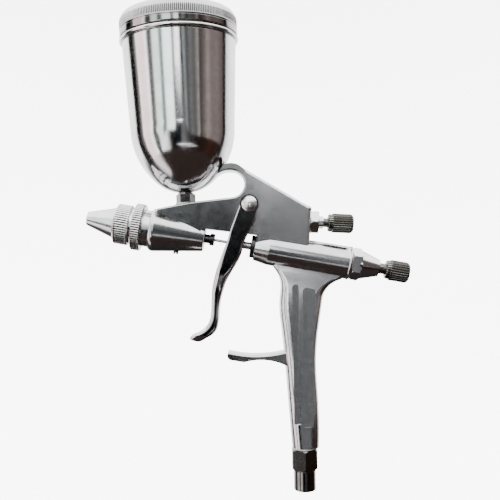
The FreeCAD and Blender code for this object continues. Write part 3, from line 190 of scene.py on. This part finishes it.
def lathe(name, place, corners, segments=144, teeth=(), closed=False, sharp=0.6):
    """A turned piece. teeth lists (start, end, count, depth, ramp): between two stations the radius falls by
    depth in each valley of a straight knurl, and the valleys run out over the ramp at both ends."""
    points = supported(soften(corners), closed)
    if teeth:
        segments = max(row[2] for row in teeth) * 6
        points = knurl_points(points, teeth)
    rows = []
    vertices = []
    for x, radius in points:
        row = [len(vertices)]
        if radius < 1e-6:
            vertices.append(place @ Vector((x * MM, 0, 0)))
        else:
            row = [len(vertices) + number for number in range(segments)]
            for number in range(segments):
                angle = 2 * math.pi * number / segments
                reach = knurled_radius(x, radius, angle, corners, teeth)
                here = Vector((x * MM, reach * math.sin(angle) * MM, -reach * math.cos(angle) * MM))
                vertices.append(place @ here)
        rows.append(row)
    pairs = list(zip(range(len(rows)), range(1, len(rows))))
    if closed:
        pairs.append((len(rows) - 1, 0))
    run = [0.0]
    for start, end in zip(points, points[1:] + points[:1]):
        run.append(run[-1] + run_length(start, end))
    faces = []
    uvs = []
    for low, high in pairs:
        first, second = rows[low], rows[high]
        v0, v1 = run[low] * 0.01, run[low + 1] * 0.01
        if len(first) == 1 and len(second) == 1:
            continue
        for number in range(segments):
            after = (number + 1) % segments
            u0, u1 = number / segments, (number + 1) / segments
            if len(first) == 1:
                faces.append((first[0], second[after], second[number]))
                uvs.append(((u0, v0), (u1, v1), (u0, v1)))
            elif len(second) == 1:
                faces.append((first[number], first[after], second[0]))
                uvs.append(((u0, v0), (u1, v0), (u0, v1)))
            else:
                faces.append((first[number], first[after], second[after], second[number]))
                uvs.append(((u0, v0), (u1, v0), (u1, v1), (u0, v1)))
    return mesh_object(name, vertices, faces, uvs, sharp)


def teeth_floor(corners, low, high):
    """The radius above which a station counts as the outside of a knurled band."""
    radii = [corner[1] for corner in corners if low - 0.01 <= corner[0] <= high + 0.01]
    return max(radii) * 0.86 if radii else 0.0


# ---------------------------------------------------------------- materials


class Tree:
    """A short way to write a node tree."""

    def __init__(self, tree):
        self.tree = tree

    def link(self, source, socket):
        self.tree.links.new(source, socket)

    def feed(self, socket, value):
        """Links a socket, or sets it to a number or a colour."""
        if hasattr(value, "is_output"):
            self.link(value, socket)
        elif isinstance(value, tuple):
            socket.default_value = (*value, 1.0)
        else:
            socket.default_value = value

    def maths(self, operation, first, second=0.0):
        made = self.tree.nodes.new("ShaderNodeMath")
        made.operation = operation
        self.feed(made.inputs[0], first)
        self.feed(made.inputs[1], second)
        return made.outputs[0]

    def product(self, first, *others):
        for other in others:
            first = self.maths("MULTIPLY", first, other)
        return first

    def mix(self, share, first, second):
        """A colour between two others: the inputs are the mix node's factor and its two colours."""
        made = self.tree.nodes.new("ShaderNodeMix")
        made.data_type = "RGBA"
        for number, value in ((0, share), (6, first), (7, second)):
            self.feed(made.inputs[number], value)
        return made.outputs[2]

    def ramp(self, value, stops):
        made = self.tree.nodes.new("ShaderNodeValToRGB")
        self.link(value, made.inputs["Fac"])
        elements = made.color_ramp.elements
        while len(elements) < len(stops):
            elements.new(0.5)
        for element, (position, colour) in zip(elements, stops):
            element.position = position
            element.color = (*colour, 1.0)
        return made.outputs["Color"]


class Nodes(Tree):
    """A material's tree round its Principled shader."""

    def __init__(self, name):
        self.material = bpy.data.materials.new(name)
        self.material.use_nodes = True
        super().__init__(self.material.node_tree)
        self.shader = self.tree.nodes["Principled BSDF"]

    def add(self, kind, **inputs):
        made = self.tree.nodes.new(kind)
        for name, value in inputs.items():
            key = name.replace("_", " ")
            if hasattr(made, name) and key not in made.inputs:
                setattr(made, name, value)
                continue
            socket = made.inputs[key]
            if hasattr(value, "is_output") and value.is_output:
                self.tree.links.new(value, socket)
            else:
                socket.default_value = value
        return made

    def noise(self, vector, scale, detail=4.0, roughness=0.55):
        return self.add(
            "ShaderNodeTexNoise", Vector=vector, Scale=scale, Detail=detail, Roughness=roughness
        ).outputs["Fac"]

    def stretch(self, vector, scale):
        return self.add("ShaderNodeMapping", Vector=vector, Scale=scale).outputs["Vector"]

    def span(self, value, low, high, to_low, to_high):
        made = self.add("ShaderNodeMapRange", Value=value)
        for key, number in (("From Min", low), ("From Max", high), ("To Min", to_low), ("To Max", to_high)):
            made.inputs[key].default_value = number
        return made.outputs["Result"]

    def bump(self, height, strength, distance, before=None):
        made = self.add("ShaderNodeBump", Height=height, Strength=strength, Distance=distance)
        if before is not None:
            self.tree.links.new(before, made.inputs["Normal"])
        return made.outputs["Normal"]

    def parts(self, vector):
        """The x, y and z of a vector."""
        return self.add("ShaderNodeSeparateXYZ", Vector=vector).outputs

    def object_place(self):
        return self.add("ShaderNodeTexCoord").outputs["Object"]

    def grooves(self, count, full, end):
        """1 in each of so many grooves round a lathed piece and 0 between them, from the first UV coordinate."""
        around = self.parts(self.add("ShaderNodeUVMap").outputs["UV"])["X"]
        turn = self.maths("FRACT", self.maths("MULTIPLY", around, count))
        off = self.maths("ABSOLUTE", self.maths("SUBTRACT", turn, 0.5))
        return self.span(off, full, end, 1.0, 0.0)

    def surface(self, colour, roughness, normal, metallic):
        self.link(colour, self.shader.inputs["Base Color"])
        self.feed(self.shader.inputs["Roughness"], roughness)
        if normal:
            self.link(normal, self.shader.inputs["Normal"])
        self.shader.inputs["Metallic"].default_value = metallic
        return self.material


def metal(
    name, bright, dull, low, high, grain=(1, 1, 1), grain_scale=900.0, depth=0.05, uv=False, scratch=0.5, flank=None
):
    """Worked metal. Cloudy handling marks and a fine grain vary its tone and its roughness; the grain is drawn
    out along the way it was polished or turned, and fine scratches cross it. A flank (x, x, share, share) darkens
    the flat sides with painted shade, by a share that runs from one place along the gun to another."""
    make = Nodes(name)
    body = make.object_place()
    place = make.add("ShaderNodeUVMap").outputs["UV"] if uv else body
    clouds = make.noise(body, 95.0, 5.0, 0.62)
    smears = make.noise(body, 420.0, 3.0, 0.5)
    lines = make.noise(make.stretch(place, grain), grain_scale, 5.0, 0.7)
    nicks = make.noise(make.stretch(body, (1.0, 0.12, 2.2)), 2600.0, 2.0, 0.4)
    mark = make.span(nicks, 0.66, 0.74, 0.0, scratch)
    tone = make.maths("ADD", make.maths("MULTIPLY", clouds, 0.6), make.maths("MULTIPLY", smears, 0.4))
    colour = make.ramp(tone, [(0.32, dull), (0.66, bright)])
    # painted shade: the flat sides, facing across the gun, darken towards the side shade tone by the flank's share
    if flank:
        across = make.parts(make.add("ShaderNodeTexCoord").outputs["Normal"])["Y"]
        side = make.span(make.maths("ABSOLUTE", across), 0.95, 0.99, 0.0, 1.0)
        share = make.span(make.parts(body)["X"], *flank)
        colour = make.mix(make.product(side, share), colour, PAINTED_SIDE_SHADE)
    rough = make.span(tone, 0.3, 0.7, high, low)
    rough = make.maths("ADD", rough, make.maths("MULTIPLY", lines, (high - low) * 0.5))
    rough = make.maths("ADD", rough, make.maths("MULTIPLY", mark, 0.16))
    normal = make.bump(lines, depth, 0.0001)
    normal = make.bump(mark, 0.18, 0.00004, normal)
    return make.surface(colour, rough, normal, 1.0)


def mottled(colour):
    """A tone that the clouds of a surface dull by a fifth."""
    return [(0.3, tuple(0.8 * part for part in colour)), (0.7, colour)]


def grooved(name, land, valley, count, width, low, high):
    """Straight-knurled metal: the lands carry one tone and the valleys another, drawn from the angle round the
    piece, so that each groove meets the cut in the mesh. The two tones are painted light and shade on one metal."""
    make = Nodes(name)
    body = make.object_place()
    groove = make.grooves(count, width * 0.55, width)
    clouds = make.noise(body, 160.0, 4.0, 0.6)
    fine = make.noise(body, 1800.0, 3.0, 0.6)
    colour = make.mix(groove, make.ramp(clouds, mottled(land)), make.ramp(clouds, mottled(valley)))
    rough = make.span(fine, 0.3, 0.7, low, high)
    return make.surface(colour, rough, make.bump(fine, 0.06, 0.00005), 1.0)


def ribbed(name, place, low, count):
    """Bright pressed metal with fine ribs above one station of its axis, rougher where the ribs are: painted shade
    darkens the grooves between the ribs, and a painted dark reflection darkens the skirt. The station comes from
    the object's own coordinates, measured along the axis."""
    make = Nodes(name)
    body = make.object_place()
    axis = place.to_3x3() @ Vector((1, 0, 0))
    dot = make.tree.nodes.new("ShaderNodeVectorMath")
    dot.operation = "DOT_PRODUCT"
    make.link(body, dot.inputs[0])
    dot.inputs[1].default_value = axis
    station = dot.outputs["Value"]
    start = axis.dot(place.translation) + low * MM
    begun = make.span(station, start, start + 0.0003, 0.0, 1.0)
    zone = make.product(begun, make.span(station, start + 0.0066, start + 0.0072, 1.0, 0.0))
    groove = make.product(make.grooves(count, 0.12, 0.26), zone)
    clouds = make.noise(body, 120.0, 4.0, 0.6)
    fine = make.noise(body, 1600.0, 4.0, 0.6)
    plain = make.ramp(clouds, [(0.3, (0.76, 0.76, 0.76)), (0.7, (0.88, 0.88, 0.88))])
    # painted shade in the grooves between the ribs
    colour = make.mix(groove, plain, (0.36, 0.36, 0.36))
    # painted dark reflection down the polished skirt below the ribs
    skirt = make.span(station, start - 0.0010, start + 0.0042, 1.0, 0.0)
    colour = make.mix(skirt, colour, (0.36, 0.35, 0.35))
    rough = make.maths("ADD", make.span(fine, 0.3, 0.7, 0.06, 0.13), make.maths("MULTIPLY", zone, 0.12))
    return make.surface(colour, rough, make.bump(fine, 0.04, 0.00004), 1.0)


def solid(name, base, shade, roughness):
    """Rubber, plastic or a gasket: a mottled tone and a fine skin."""
    make = Nodes(name)
    body = make.object_place()
    cloud = make.noise(body, 140.0, 4.0, 0.6)
    skin = make.noise(body, 2100.0, 3.0, 0.6)
    colour = make.ramp(cloud, [(0.3, shade), (0.7, base)])
    rough = make.span(skin, 0.3, 0.7, roughness - 0.08, roughness + 0.1)
    return make.surface(colour, rough, make.bump(skin, 0.15, 0.0001), 0.0)


# the tone of the painted shade on the flat sides of the casting and the trigger
PAINTED_SIDE_SHADE = (0.045, 0.048, 0.052)
CHROME = metal("plated", (0.83, 0.83, 0.84), (0.66, 0.66, 0.67), 0.045, 0.13, depth=0.02)
# painted shade on the casting's flat sides, from none at the rear to most of the side shade tone at the front
CAST = metal(
    "plated_casting", (0.74, 0.74, 0.75), (0.50, 0.50, 0.51), 0.09, 0.20, (0.35, 1.0, 1.0), 700.0, 0.04,
    flank=(0.040, 0.054, 0.0, 0.72),
)
# painted shade on the trigger's flat sides, even and at nearly the full side shade tone
TRIGGER = metal(
    "trigger_plate", (0.83, 0.83, 0.84), (0.66, 0.66, 0.67), 0.06, 0.15, depth=0.02, flank=(0.0, 0.001, 0.9, 0.9),
)
TURNED = metal(
    "turned_plated", (0.82, 0.82, 0.83), (0.62, 0.62, 0.63), 0.07, 0.18, (0.02, 60.0, 1.0), 10.0, 0.05, True
)
# the knurled rings: pale lands and painted shade in the valleys
CAP_GRIP = grooved("knurled_cap_ring", (0.90, 0.90, 0.89), (0.10, 0.095, 0.09), 52, 0.24, 0.16, 0.28)
LOCK_GRIP = grooved("knurled_lock_ring", (0.90, 0.90, 0.89), (0.10, 0.095, 0.09), 60, 0.24, 0.16, 0.28)
# the knurled knobs: a painted dark reflection on the lands and a painted highlight in the valleys
KNOB_GRIP = grooved("knurled_knob", (0.060, 0.058, 0.050), (0.42, 0.42, 0.40), 24, 0.15, 0.20, 0.34)
CUP_WALL = metal(
    "cup_wall", (0.80, 0.80, 0.80), (0.62, 0.62, 0.62), 0.05, 0.13, (90.0, 0.25, 1.0), 9.0, 0.05, True, 0.8
)
LID_METAL = ribbed("lid_metal", CUP, 75.8, 200)
STEEL = metal("ground_steel", (0.70, 0.70, 0.71), (0.50, 0.50, 0.51), 0.14, 0.28, (0.2, 1.0, 1.0), 1500.0, 0.06)
DARK_STEEL = metal("dark_steel", (0.075, 0.075, 0.078), (0.035, 0.035, 0.036), 0.16, 0.32, depth=0.08)
# painted shade: a darker copy of the plating for the cup neck, the cup nut and the inlet, which are plated like the
# rest
PLATE_PAINTED_DARK = metal("plate_painted_dark", (0.22, 0.215, 0.21), (0.13, 0.125, 0.12), 0.06, 0.16, depth=0.03)
SCREW = metal("screw_plate", (0.92, 0.92, 0.91), (0.74, 0.74, 0.73), 0.20, 0.32, depth=0.04)
SPRING = metal("spring_wire", (0.52, 0.52, 0.54), (0.34, 0.34, 0.36), 0.24, 0.40, depth=0.05)
WHITE_SEAL = solid("white_seal", (0.82, 0.82, 0.78), (0.66, 0.65, 0.60), 0.48)
RUBBER = solid("black_rubber", (0.032, 0.032, 0.034), (0.016, 0.016, 0.017), 0.62)


def paint(piece, material):
    piece.data.materials.clear()
    piece.data.materials.append(material)


def fit(piece, material, body, node):
    """Finishes a detailed piece: its material, the body it moves with and the node it stands for."""
    paint(piece, material)
    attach(piece, body)
    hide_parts(node)


# ---------------------------------------------------------------- nozzle end


def build_nozzle():
    cap = [
        (0.0, 1.5), (0.0, 3.0, 0.3), (12.5, 6.9, 0.4), (13.9, 6.9), (13.9, 7.8), (15.5, 7.8), (15.5, 6.1),
        (12.5, 5.8), (3.0, 2.1), (1.2, 1.5),
    ]
    fit(lathe("air_cap_turned", BARREL, cap, closed=True), TURNED, "cap", "air_cap")
    ring = [
        (12.7, 6.95), (12.7, 7.6, 0.15), (13.5, 9.0, 0.2), (19.3, 9.0, 0.15), (19.7, 8.6, 0.15), (19.7, 7.95),
        (13.85, 7.95), (13.8, 6.95),
    ]
    grip = [(13.7, 19.1, 52, 0.30, 0.35)]
    made = lathe("cap_ring_knurled", BARREL, ring, teeth=grip, closed=True, sharp=0.9)
    fit(made, CAP_GRIP, "cap_ring", "air_cap_ring")
    ring = [
        (21.1, 7.95), (21.1, 10.0, 0.1), (21.6, 10.5, 0.15), (24.9, 10.5, 0.15), (25.4, 10.0, 0.1), (25.4, 7.95),
    ]
    grip = [(21.5, 25.0, 60, 0.30, 0.25)]
    made = lathe("lock_ring_knurled", BARREL, ring, teeth=grip, closed=True, sharp=0.9)
    fit(made, LOCK_GRIP, "lock_ring", "head_lock_ring")


# ---------------------------------------------------------------- knobs


def build_knobs():
    knob = [
        (128.5, 0.9), (128.5, 2.4, 0.1), (135.6, 2.4), (135.6, 3.7, 0.1), (136.0, 4.1, 0.2), (137.4, 4.1),
        (137.4, 4.5, 0.05), (137.55, 4.65, 0.1), (145.1, 4.65, 1.1), (146.1, 3.75, 0.5), (146.1, 0.0),
    ]
    grip = [(137.5, 145.6, 24, 0.34, 0.4)]
    made = lathe("fluid_knob_knurled", BARREL, knob, teeth=grip, sharp=0.9)
    fit(made, KNOB_GRIP, "fluid_knob", "fluid_knob")
    knob = [
        (-13.0, 0.0), (-13.0, 0.5), (-9.5, 1.2), (-3.2, 1.2), (-3.2, 2.0), (-1.6, 2.0), (-1.6, 1.48), (-0.4, 1.48),
        (-0.4, 2.0), (8.1, 2.0), (8.1, 3.5, 0.1), (8.5, 3.9, 0.2), (10.0, 3.9), (10.0, 4.15, 0.05),
        (10.15, 4.3, 0.1), (18.4, 4.3, 1.1), (19.4, 3.4, 0.5), (19.4, 0.0),
    ]
    grip = [(10.1, 18.9, 24, 0.32, 0.4)]
    made = lathe("air_knob_knurled", AIR, knob, teeth=grip, sharp=0.9)
    fit(made, KNOB_GRIP, "air_knob", "air_knob")


# ---------------------------------------------------------------- cup and lid


def bullet(inset):
    """The cup's outline from its pole to its mouth: a small arc tangent to a large one, then a straight wall."""
    pole, width, length, bottom = 19.0, 23.3, 29.0, 3.0
    flank = (width**2 + length**2 - 2 * length * pole) / (2 * (width - pole))
    centre = bottom + length
    points = []
    turn = math.atan2(flank - width, length - pole)
    for step in range(25):
        angle = turn * step / 24
        points.append((bottom + pole - (pole - inset) * math.cos(angle), (pole - inset) * math.sin(angle)))
    for step in range(1, 33):
        angle = turn + (math.pi / 2 - turn) * step / 32
        x = centre - (flank - inset) * math.cos(angle)
        points.append((x, width - flank + (flank - inset) * math.sin(angle)))
    points.append((69.6, 25.4 - inset))
    return points


def past_hole(points):
    """An outline from the hole in the cup's bottom, that the neck passes through, to the mouth."""
    hole = 2.96
    start = next(number for number, point in enumerate(points) if point[1] > hole + 0.01)
    return [(points[start][0] - 0.02, hole)] + points[start:]


def build_cup():
    outside = past_hole(bullet(0.0))
    inside = past_hole(bullet(0.8))
    profile = outside[:]
    # the rolled wire under the mouth
    for step in range(13):
        angle = math.radians(-150 + 285 * step / 12)
        profile.append((71.0 + math.sin(angle), 25.6 + math.cos(angle)))
    profile += [(72.2, 24.9), (76.8, 24.9, 0.2), (77.0, 24.7), (77.0, 24.3), (76.8, 24.1), (71.6, 24.1)]
    profile += list(reversed(inside))
    made = lathe("cup_spun", CUP, profile, segments=192, closed=True, sharp=0.7)
    fit(made, CUP_WALL, "gun", "paint_cup")


def build_lid():
    crown, rise, span, steps = 84.3, 1.3, 22.9, 24
    radius = (span**2 + rise**2) / (2 * rise)
    dome = []
    for step in range(1, steps):
        reach = span * (1 - step / steps)
        dome.append((crown - radius + math.sqrt(radius**2 - reach**2), reach))
    profile = [
        (81.9, 0.0), (81.9, 21.4), (78.0, 21.4), (78.0, 25.4), (72.4, 25.4), (72.4, 26.1, 0.1),
        (72.8, 26.3, 0.15), (74.9, 26.3, 0.1), (75.15, 26.0, 0.1), (75.4, 26.0, 0.1), (75.6, 26.3, 0.1),
        (79.6, 26.3, 2.4), (81.9, 25.2, 1.6), (83.0, 22.9, 0.8),
    ]
    profile += dome + [(crown, 0.0)]
    made = lathe("lid_spun", CUP, profile, teeth=[(75.8, 82.6, 200, 0.32, 0.4)], sharp=0.9)
    fit(made, LID_METAL, "lid", "cup_lid")


# ---------------------------------------------------------------- the rest keeps its CAD shape


def finish_cad():
    looks = {
        "gun_body": CAST, "trigger": TRIGGER, "nozzle_head": TURNED, "rear_cap": CHROME, "air_gland_nut": CHROME,
        "air_inlet": PLATE_PAINTED_DARK, "pivot_screw": SCREW, "pivot_nut": SCREW, "packing_nut": DARK_STEEL,
        "cup_neck": PLATE_PAINTED_DARK, "cup_nut": PLATE_PAINTED_DARK, "barrel_grub_screw": DARK_STEEL,
        "air_valve_gland": DARK_STEEL, "valve_spring_seat": STEEL, "spring_thrust_washer": STEEL,
        "fluid_needle": STEEL, "fluid_nozzle": STEEL, "air_valve_stem": STEEL, "needle_chuck": STEEL,
        "needle_chuck_nut": STEEL, "air_valve_spring": SPRING, "needle_spring": SPRING, "needle_packing": WHITE_SEAL,
        "air_valve_packing": WHITE_SEAL, "cup_seal": WHITE_SEAL, "lid_gasket": WHITE_SEAL, "nozzle_washer": WHITE_SEAL,
        "inlet_washer": WHITE_SEAL, "air_knob_oring": RUBBER, "air_valve_seal": RUBBER,
    }
    for name, material in looks.items():
        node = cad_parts[name]
        if not node.material_slots:
            node.data.materials.append(material)
        for slot in node.material_slots:
            slot.material = material


# ---------------------------------------------------------------- studio


def glow(name, place, aim, size, power):
    """A soft lamp that lights the gun and leaves the reflections to the studio round it."""
    data = bpy.data.lights.new(name, "AREA")
    data.shape = "RECTANGLE"
    data.size, data.size_y = size
    data.energy = power
    lamp = bpy.data.objects.new(name, data)
    lamp.location = place
    lamp.visible_glossy = False
    lamp.rotation_mode = "QUATERNION"
    lamp.rotation_quaternion = (Vector(aim) - Vector(place)).to_track_quat("-Z", "Y")
    bpy.context.scene.collection.objects.link(lamp)


# Tones round the gun, as seen from it, against the share of a full turn: from behind it (0) through the nozzle
# side (0.25), the camera side (0.5) and the handle side (0.75). UPPER lies above the barrel's level up to
# SIDE_START, SIDE carries it on from there, and LOWER lies below.
SIDE_START = 0.613
UPPER = [
    (0.0, (0.97, 0.97, 0.97)), (0.176, (0.92, 0.92, 0.92)), (0.188, (0.012, 0.012, 0.012)),
    (0.220, (0.012, 0.012, 0.012)), (0.232, (0.20, 0.19, 0.19)), (0.246, (0.22, 0.20, 0.20)),
    (0.252, (1.0, 1.0, 1.0)), (0.262, (0.88, 0.74, 0.76)), (0.306, (0.86, 0.73, 0.75)), (0.316, (1.0, 1.0, 1.0)),
    (0.326, (0.9, 0.9, 0.9)), (0.334, (0.14, 0.13, 0.13)), (0.356, (0.16, 0.16, 0.16)), (0.364, (0.72, 0.78, 0.76)),
    (0.394, (0.76, 0.82, 0.80)), (0.402, (0.20, 0.25, 0.24)), (0.420, (0.24, 0.30, 0.29)),
    (0.430, (0.92, 0.97, 0.96)), (0.466, (0.95, 0.98, 0.98)), (0.472, (0.30, 0.32, 0.33)),
    (0.482, (0.34, 0.37, 0.38)), (0.488, (1.0, 1.0, 1.0)), (0.509, (1.0, 1.0, 1.0)), (0.513, (0.05, 0.055, 0.06)),
    (0.526, (0.05, 0.055, 0.06)), (0.532, (0.30, 0.31, 0.31)), (0.546, (0.26, 0.27, 0.27)),
    (0.556, (0.10, 0.10, 0.105)), (0.572, (0.20, 0.20, 0.20)), (0.596, (0.15, 0.145, 0.14)),
    (SIDE_START, (0.34, 0.32, 0.31)),
]
SIDE = [
    (SIDE_START, (0.34, 0.32, 0.31)), (0.622, (0.085, 0.078, 0.075)), (0.650, (0.20, 0.18, 0.175)),
    (0.668, (0.30, 0.27, 0.26)), (0.70, (0.215, 0.19, 0.185)), (0.745, (0.225, 0.20, 0.195)),
    (0.782, (0.16, 0.14, 0.135)), (0.792, (0.02, 0.016, 0.016)), (0.806, (0.02, 0.016, 0.016)),
    (0.820, (0.62, 0.62, 0.62)), (0.86, (0.88, 0.88, 0.88)), (1.0, (0.97, 0.97, 0.97)),
]
LOWER = [
    (0.0, (0.95, 0.95, 0.95)), (0.170, (0.90, 0.90, 0.90)), (0.188, (0.03, 0.03, 0.03)), (0.225, (0.03, 0.03, 0.03)),
    (0.25, (0.90, 0.84, 0.84)), (0.335, (0.93, 0.88, 0.88)), (0.375, (0.90, 0.88, 0.87)), (0.415, (0.72, 0.70, 0.69)),
    (0.436, (0.10, 0.10, 0.10)), (0.450, (0.022, 0.025, 0.028)), (0.472, (0.006, 0.008, 0.012)),
    (0.500, (0.006, 0.008, 0.012)), (0.505, (0.13, 0.135, 0.138)), (0.514, (0.205, 0.21, 0.21)),
    (0.530, (0.17, 0.17, 0.17)), (0.56, (0.07, 0.065, 0.06)), (0.60, (0.035, 0.028, 0.026)),
    (0.70, (0.085, 0.05, 0.04)), (0.785, (0.05, 0.035, 0.03)), (0.80, (0.02, 0.016, 0.015)),
    (0.83, (0.7, 0.7, 0.7)), (1.0, (0.95, 0.95, 0.95)),
]


class Sky(Tree):
    """The studio round the gun, drawn from the direction a ray leaves in."""

    def step(self, value, low, high):
        """0 below one number and 1 above another, with a soft step between them."""
        made = self.tree.nodes.new("ShaderNodeMapRange")
        made.interpolation_type = "SMOOTHSTEP"
        self.link(value, made.inputs["Value"])
        made.inputs["From Min"].default_value = low
        made.inputs["From Max"].default_value = high
        return made.outputs["Result"]

    def fall(self, value, low, high):
        """1 below one number and 0 above another."""
        return self.maths("SUBTRACT", 1.0, self.step(value, low, high))

    def add(self, first, second, weight):
        return self.maths("ADD", first, self.maths("MULTIPLY", second, weight))


def sky_colour(sky, direction, wander):
    """The colour of the studio in a direction. Each layer covers the ones before it."""
    parts = sky.tree.nodes.new("ShaderNodeSeparateXYZ")
    sky.link(direction, parts.inputs[0])
    x, y, z = parts.outputs["X"], parts.outputs["Y"], parts.outputs["Z"]
    down = sky.maths("MULTIPLY", z, -1.0)
    behind = sky.maths("MULTIPLY", y, -1.0)
    turn = sky.maths("ARCTAN2", sky.maths("MULTIPLY", x, -1.0), y)
    share = sky.maths("ADD", sky.maths("DIVIDE", turn, 2 * math.pi), 0.5)
    # soft wandering of the edges in front, so that reflected strips are not ruled lines
    drift = sky.maths("MULTIPLY", sky.maths("SUBTRACT", wander, 0.5), 0.035)
    drifted = sky.maths("ADD", share, sky.product(drift, sky.step(y, -0.25, 0.1)))
    beside = sky.step(drifted, SIDE_START - 0.0005, SIDE_START + 0.0005)
    upper = sky.mix(beside, sky.ramp(drifted, UPPER), sky.ramp(drifted, SIDE))
    # the level where upper meets lower: it drops on the nozzle side and to both sides of the middle
    middle = sky.product(sky.step(share, 0.470, 0.476), sky.fall(share, 0.530, 0.545))
    level = sky.add(z, sky.fall(share, 0.335, 0.42), 0.75)
    level = sky.add(level, sky.maths("SUBTRACT", 1.0, middle), 0.22)
    level = sky.add(level, sky.step(share, 0.545, 0.560), 0.12)
    colour = sky.mix(sky.step(level, 0.11, 0.14), sky.ramp(share, LOWER), upper)
    # the ground: pale past the nozzle and dark elsewhere
    past_nozzle = sky.product(sky.fall(share, 0.30, 0.36), sky.step(x, 0.34, 0.46), 0.8)
    ground = sky.mix(past_nozzle, (0.075, 0.060, 0.056), (0.80, 0.77, 0.76))
    colour = sky.mix(sky.step(down, 0.52, 0.60), colour, ground)
    # a pale strip low in front that the barrel's lower half picks up
    strip = sky.product(sky.step(z, -0.50, -0.475), sky.fall(z, -0.455, -0.43))
    strip = sky.product(strip, sky.step(y, 0.6, 0.85), sky.step(share, 0.46, 0.50), 0.85)
    colour = sky.mix(strip, colour, (0.85, 0.85, 0.86))
    # the ceiling
    colour = sky.mix(sky.step(z, 0.46, 0.56), colour, (1.0, 1.0, 1.0))
    # a dark line high up behind, which edges the tops of the barrels, and a dark floor line low behind
    high = sky.product(sky.step(z, 0.34, 0.40), sky.fall(z, 0.52, 0.60), sky.step(behind, 0.70, 0.78), 0.96)
    colour = sky.mix(high, colour, (0.02, 0.02, 0.02))
    low = sky.product(sky.step(down, 0.2, 0.5), sky.step(behind, -0.10, 0.12), 0.92)
    return sky.mix(low, colour, (0.06, 0.06, 0.06))


def build_world():
    world = bpy.data.worlds.new("studio")
    bpy.context.scene.world = world
    world.use_nodes = True
    nodes = world.node_tree.nodes
    nodes.clear()
    sky = Sky(world.node_tree)
    place = nodes.new("ShaderNodeTexCoord")
    turn = nodes.new("ShaderNodeVectorRotate")
    turn.rotation_type = "Y_AXIS"
    turn.inputs["Angle"].default_value = math.radians(-CAMERA_ROLL)
    sky.link(place.outputs["Generated"], turn.inputs["Vector"])
    wander = nodes.new("ShaderNodeTexNoise")
    wander.inputs["Scale"].default_value = 2.6
    wander.inputs["Detail"].default_value = 2.0
    sky.link(turn.outputs["Vector"], wander.inputs["Vector"])
    deep = nodes.new("ShaderNodeGamma")
    deep.inputs["Gamma"].default_value = 1.7
    sky.link(sky_colour(sky, turn.outputs["Vector"], wander.outputs["Fac"]), deep.inputs["Color"])
    shine = nodes.new("ShaderNodeBackground")
    shine.inputs["Strength"].default_value = 3.6
    sky.link(deep.outputs["Color"], shine.inputs["Color"])
    plain = nodes.new("ShaderNodeBackground")
    plain.inputs["Color"].default_value = (0.95, 0.95, 0.95, 1)
    choose = nodes.new("ShaderNodeMixShader")
    sky.link(nodes.new("ShaderNodeLightPath").outputs["Is Camera Ray"], choose.inputs["Fac"])
    sky.link(shine.outputs[0], choose.inputs[1])
    sky.link(plain.outputs[0], choose.inputs[2])
    output = nodes.new("ShaderNodeOutputWorld")
    sky.link(choose.outputs[0], output.inputs["Surface"])


def build_stage():
    """A pale floor that curves up into a wall all round, so that no horizon shows from any side."""
    make = Nodes("pale_floor")
    cloud = make.noise(make.object_place(), 3.0, 3.0)
    make.surface(make.ramp(cloud, [(0.3, (0.86, 0.86, 0.86)), (0.7, (0.89, 0.89, 0.89))]), 0.7, None, 0.0)
    make.shader.inputs["Emission Color"].default_value = (1, 1, 1, 1)
    make.shader.inputs["Emission Strength"].default_value = 5.5
    flat, base, top, steps, around = 1.2, -0.05, 6.0, 24, 96
    ring = [(0.0, base), (flat, base)]
    for step in range(1, steps + 1):
        angle = math.pi / 2 * step / steps
        ring.append((flat + flat * math.sin(angle), base + flat * (1 - math.cos(angle))))
    ring.append((2 * flat, top))
    vertices = []
    for radius, z in ring:
        for number in range(around):
            angle = 2 * math.pi * number / around
            vertices.append((radius * math.cos(angle), radius * math.sin(angle), z))
    faces = []
    for row in range(len(ring) - 1):
        for number in range(around):
            after = (number + 1) % around
            a, b = row * around + number, row * around + after
            faces.append((a, b, b + around, a + around))
    floor = mesh_object("studio_floor", vertices, faces)
    paint(floor, make.material)
    floor.visible_glossy = False
    floor.visible_diffuse = False
    floor.visible_shadow = False


def build_camera():
    data = bpy.data.cameras.new("camera")
    data.sensor_width = 36.0
    data.lens = 49.68
    data.clip_start = 0.01
    data.clip_end = 50.0
    camera = bpy.data.objects.new("camera", data)
    cosine, sine = tilted(CAMERA_ROLL)
    right = Vector((-cosine, 0, sine))
    up = Vector((sine, 0, cosine))
    back = right.cross(up)
    matrix = Matrix((right, up, back)).transposed().to_4x4()
    matrix.translation = place_of(74.25, -1.73) + Vector((0, 0.310, 0))
    camera.matrix_world = matrix
    bpy.context.scene.collection.objects.link(camera)
    bpy.context.scene.camera = camera


build_nozzle()
build_knobs()
build_cup()
build_lid()
finish_cad()
build_world()
build_stage()
glow("key", (0.55, 0.5, 0.9), (0.04, 0, 0.1), (0.5, 0.5), 9.0)
glow("rim", (-0.7, -0.35, 0.7), (0.04, 0, 0.1), (0.3, 0.8), 5.0)
build_camera()
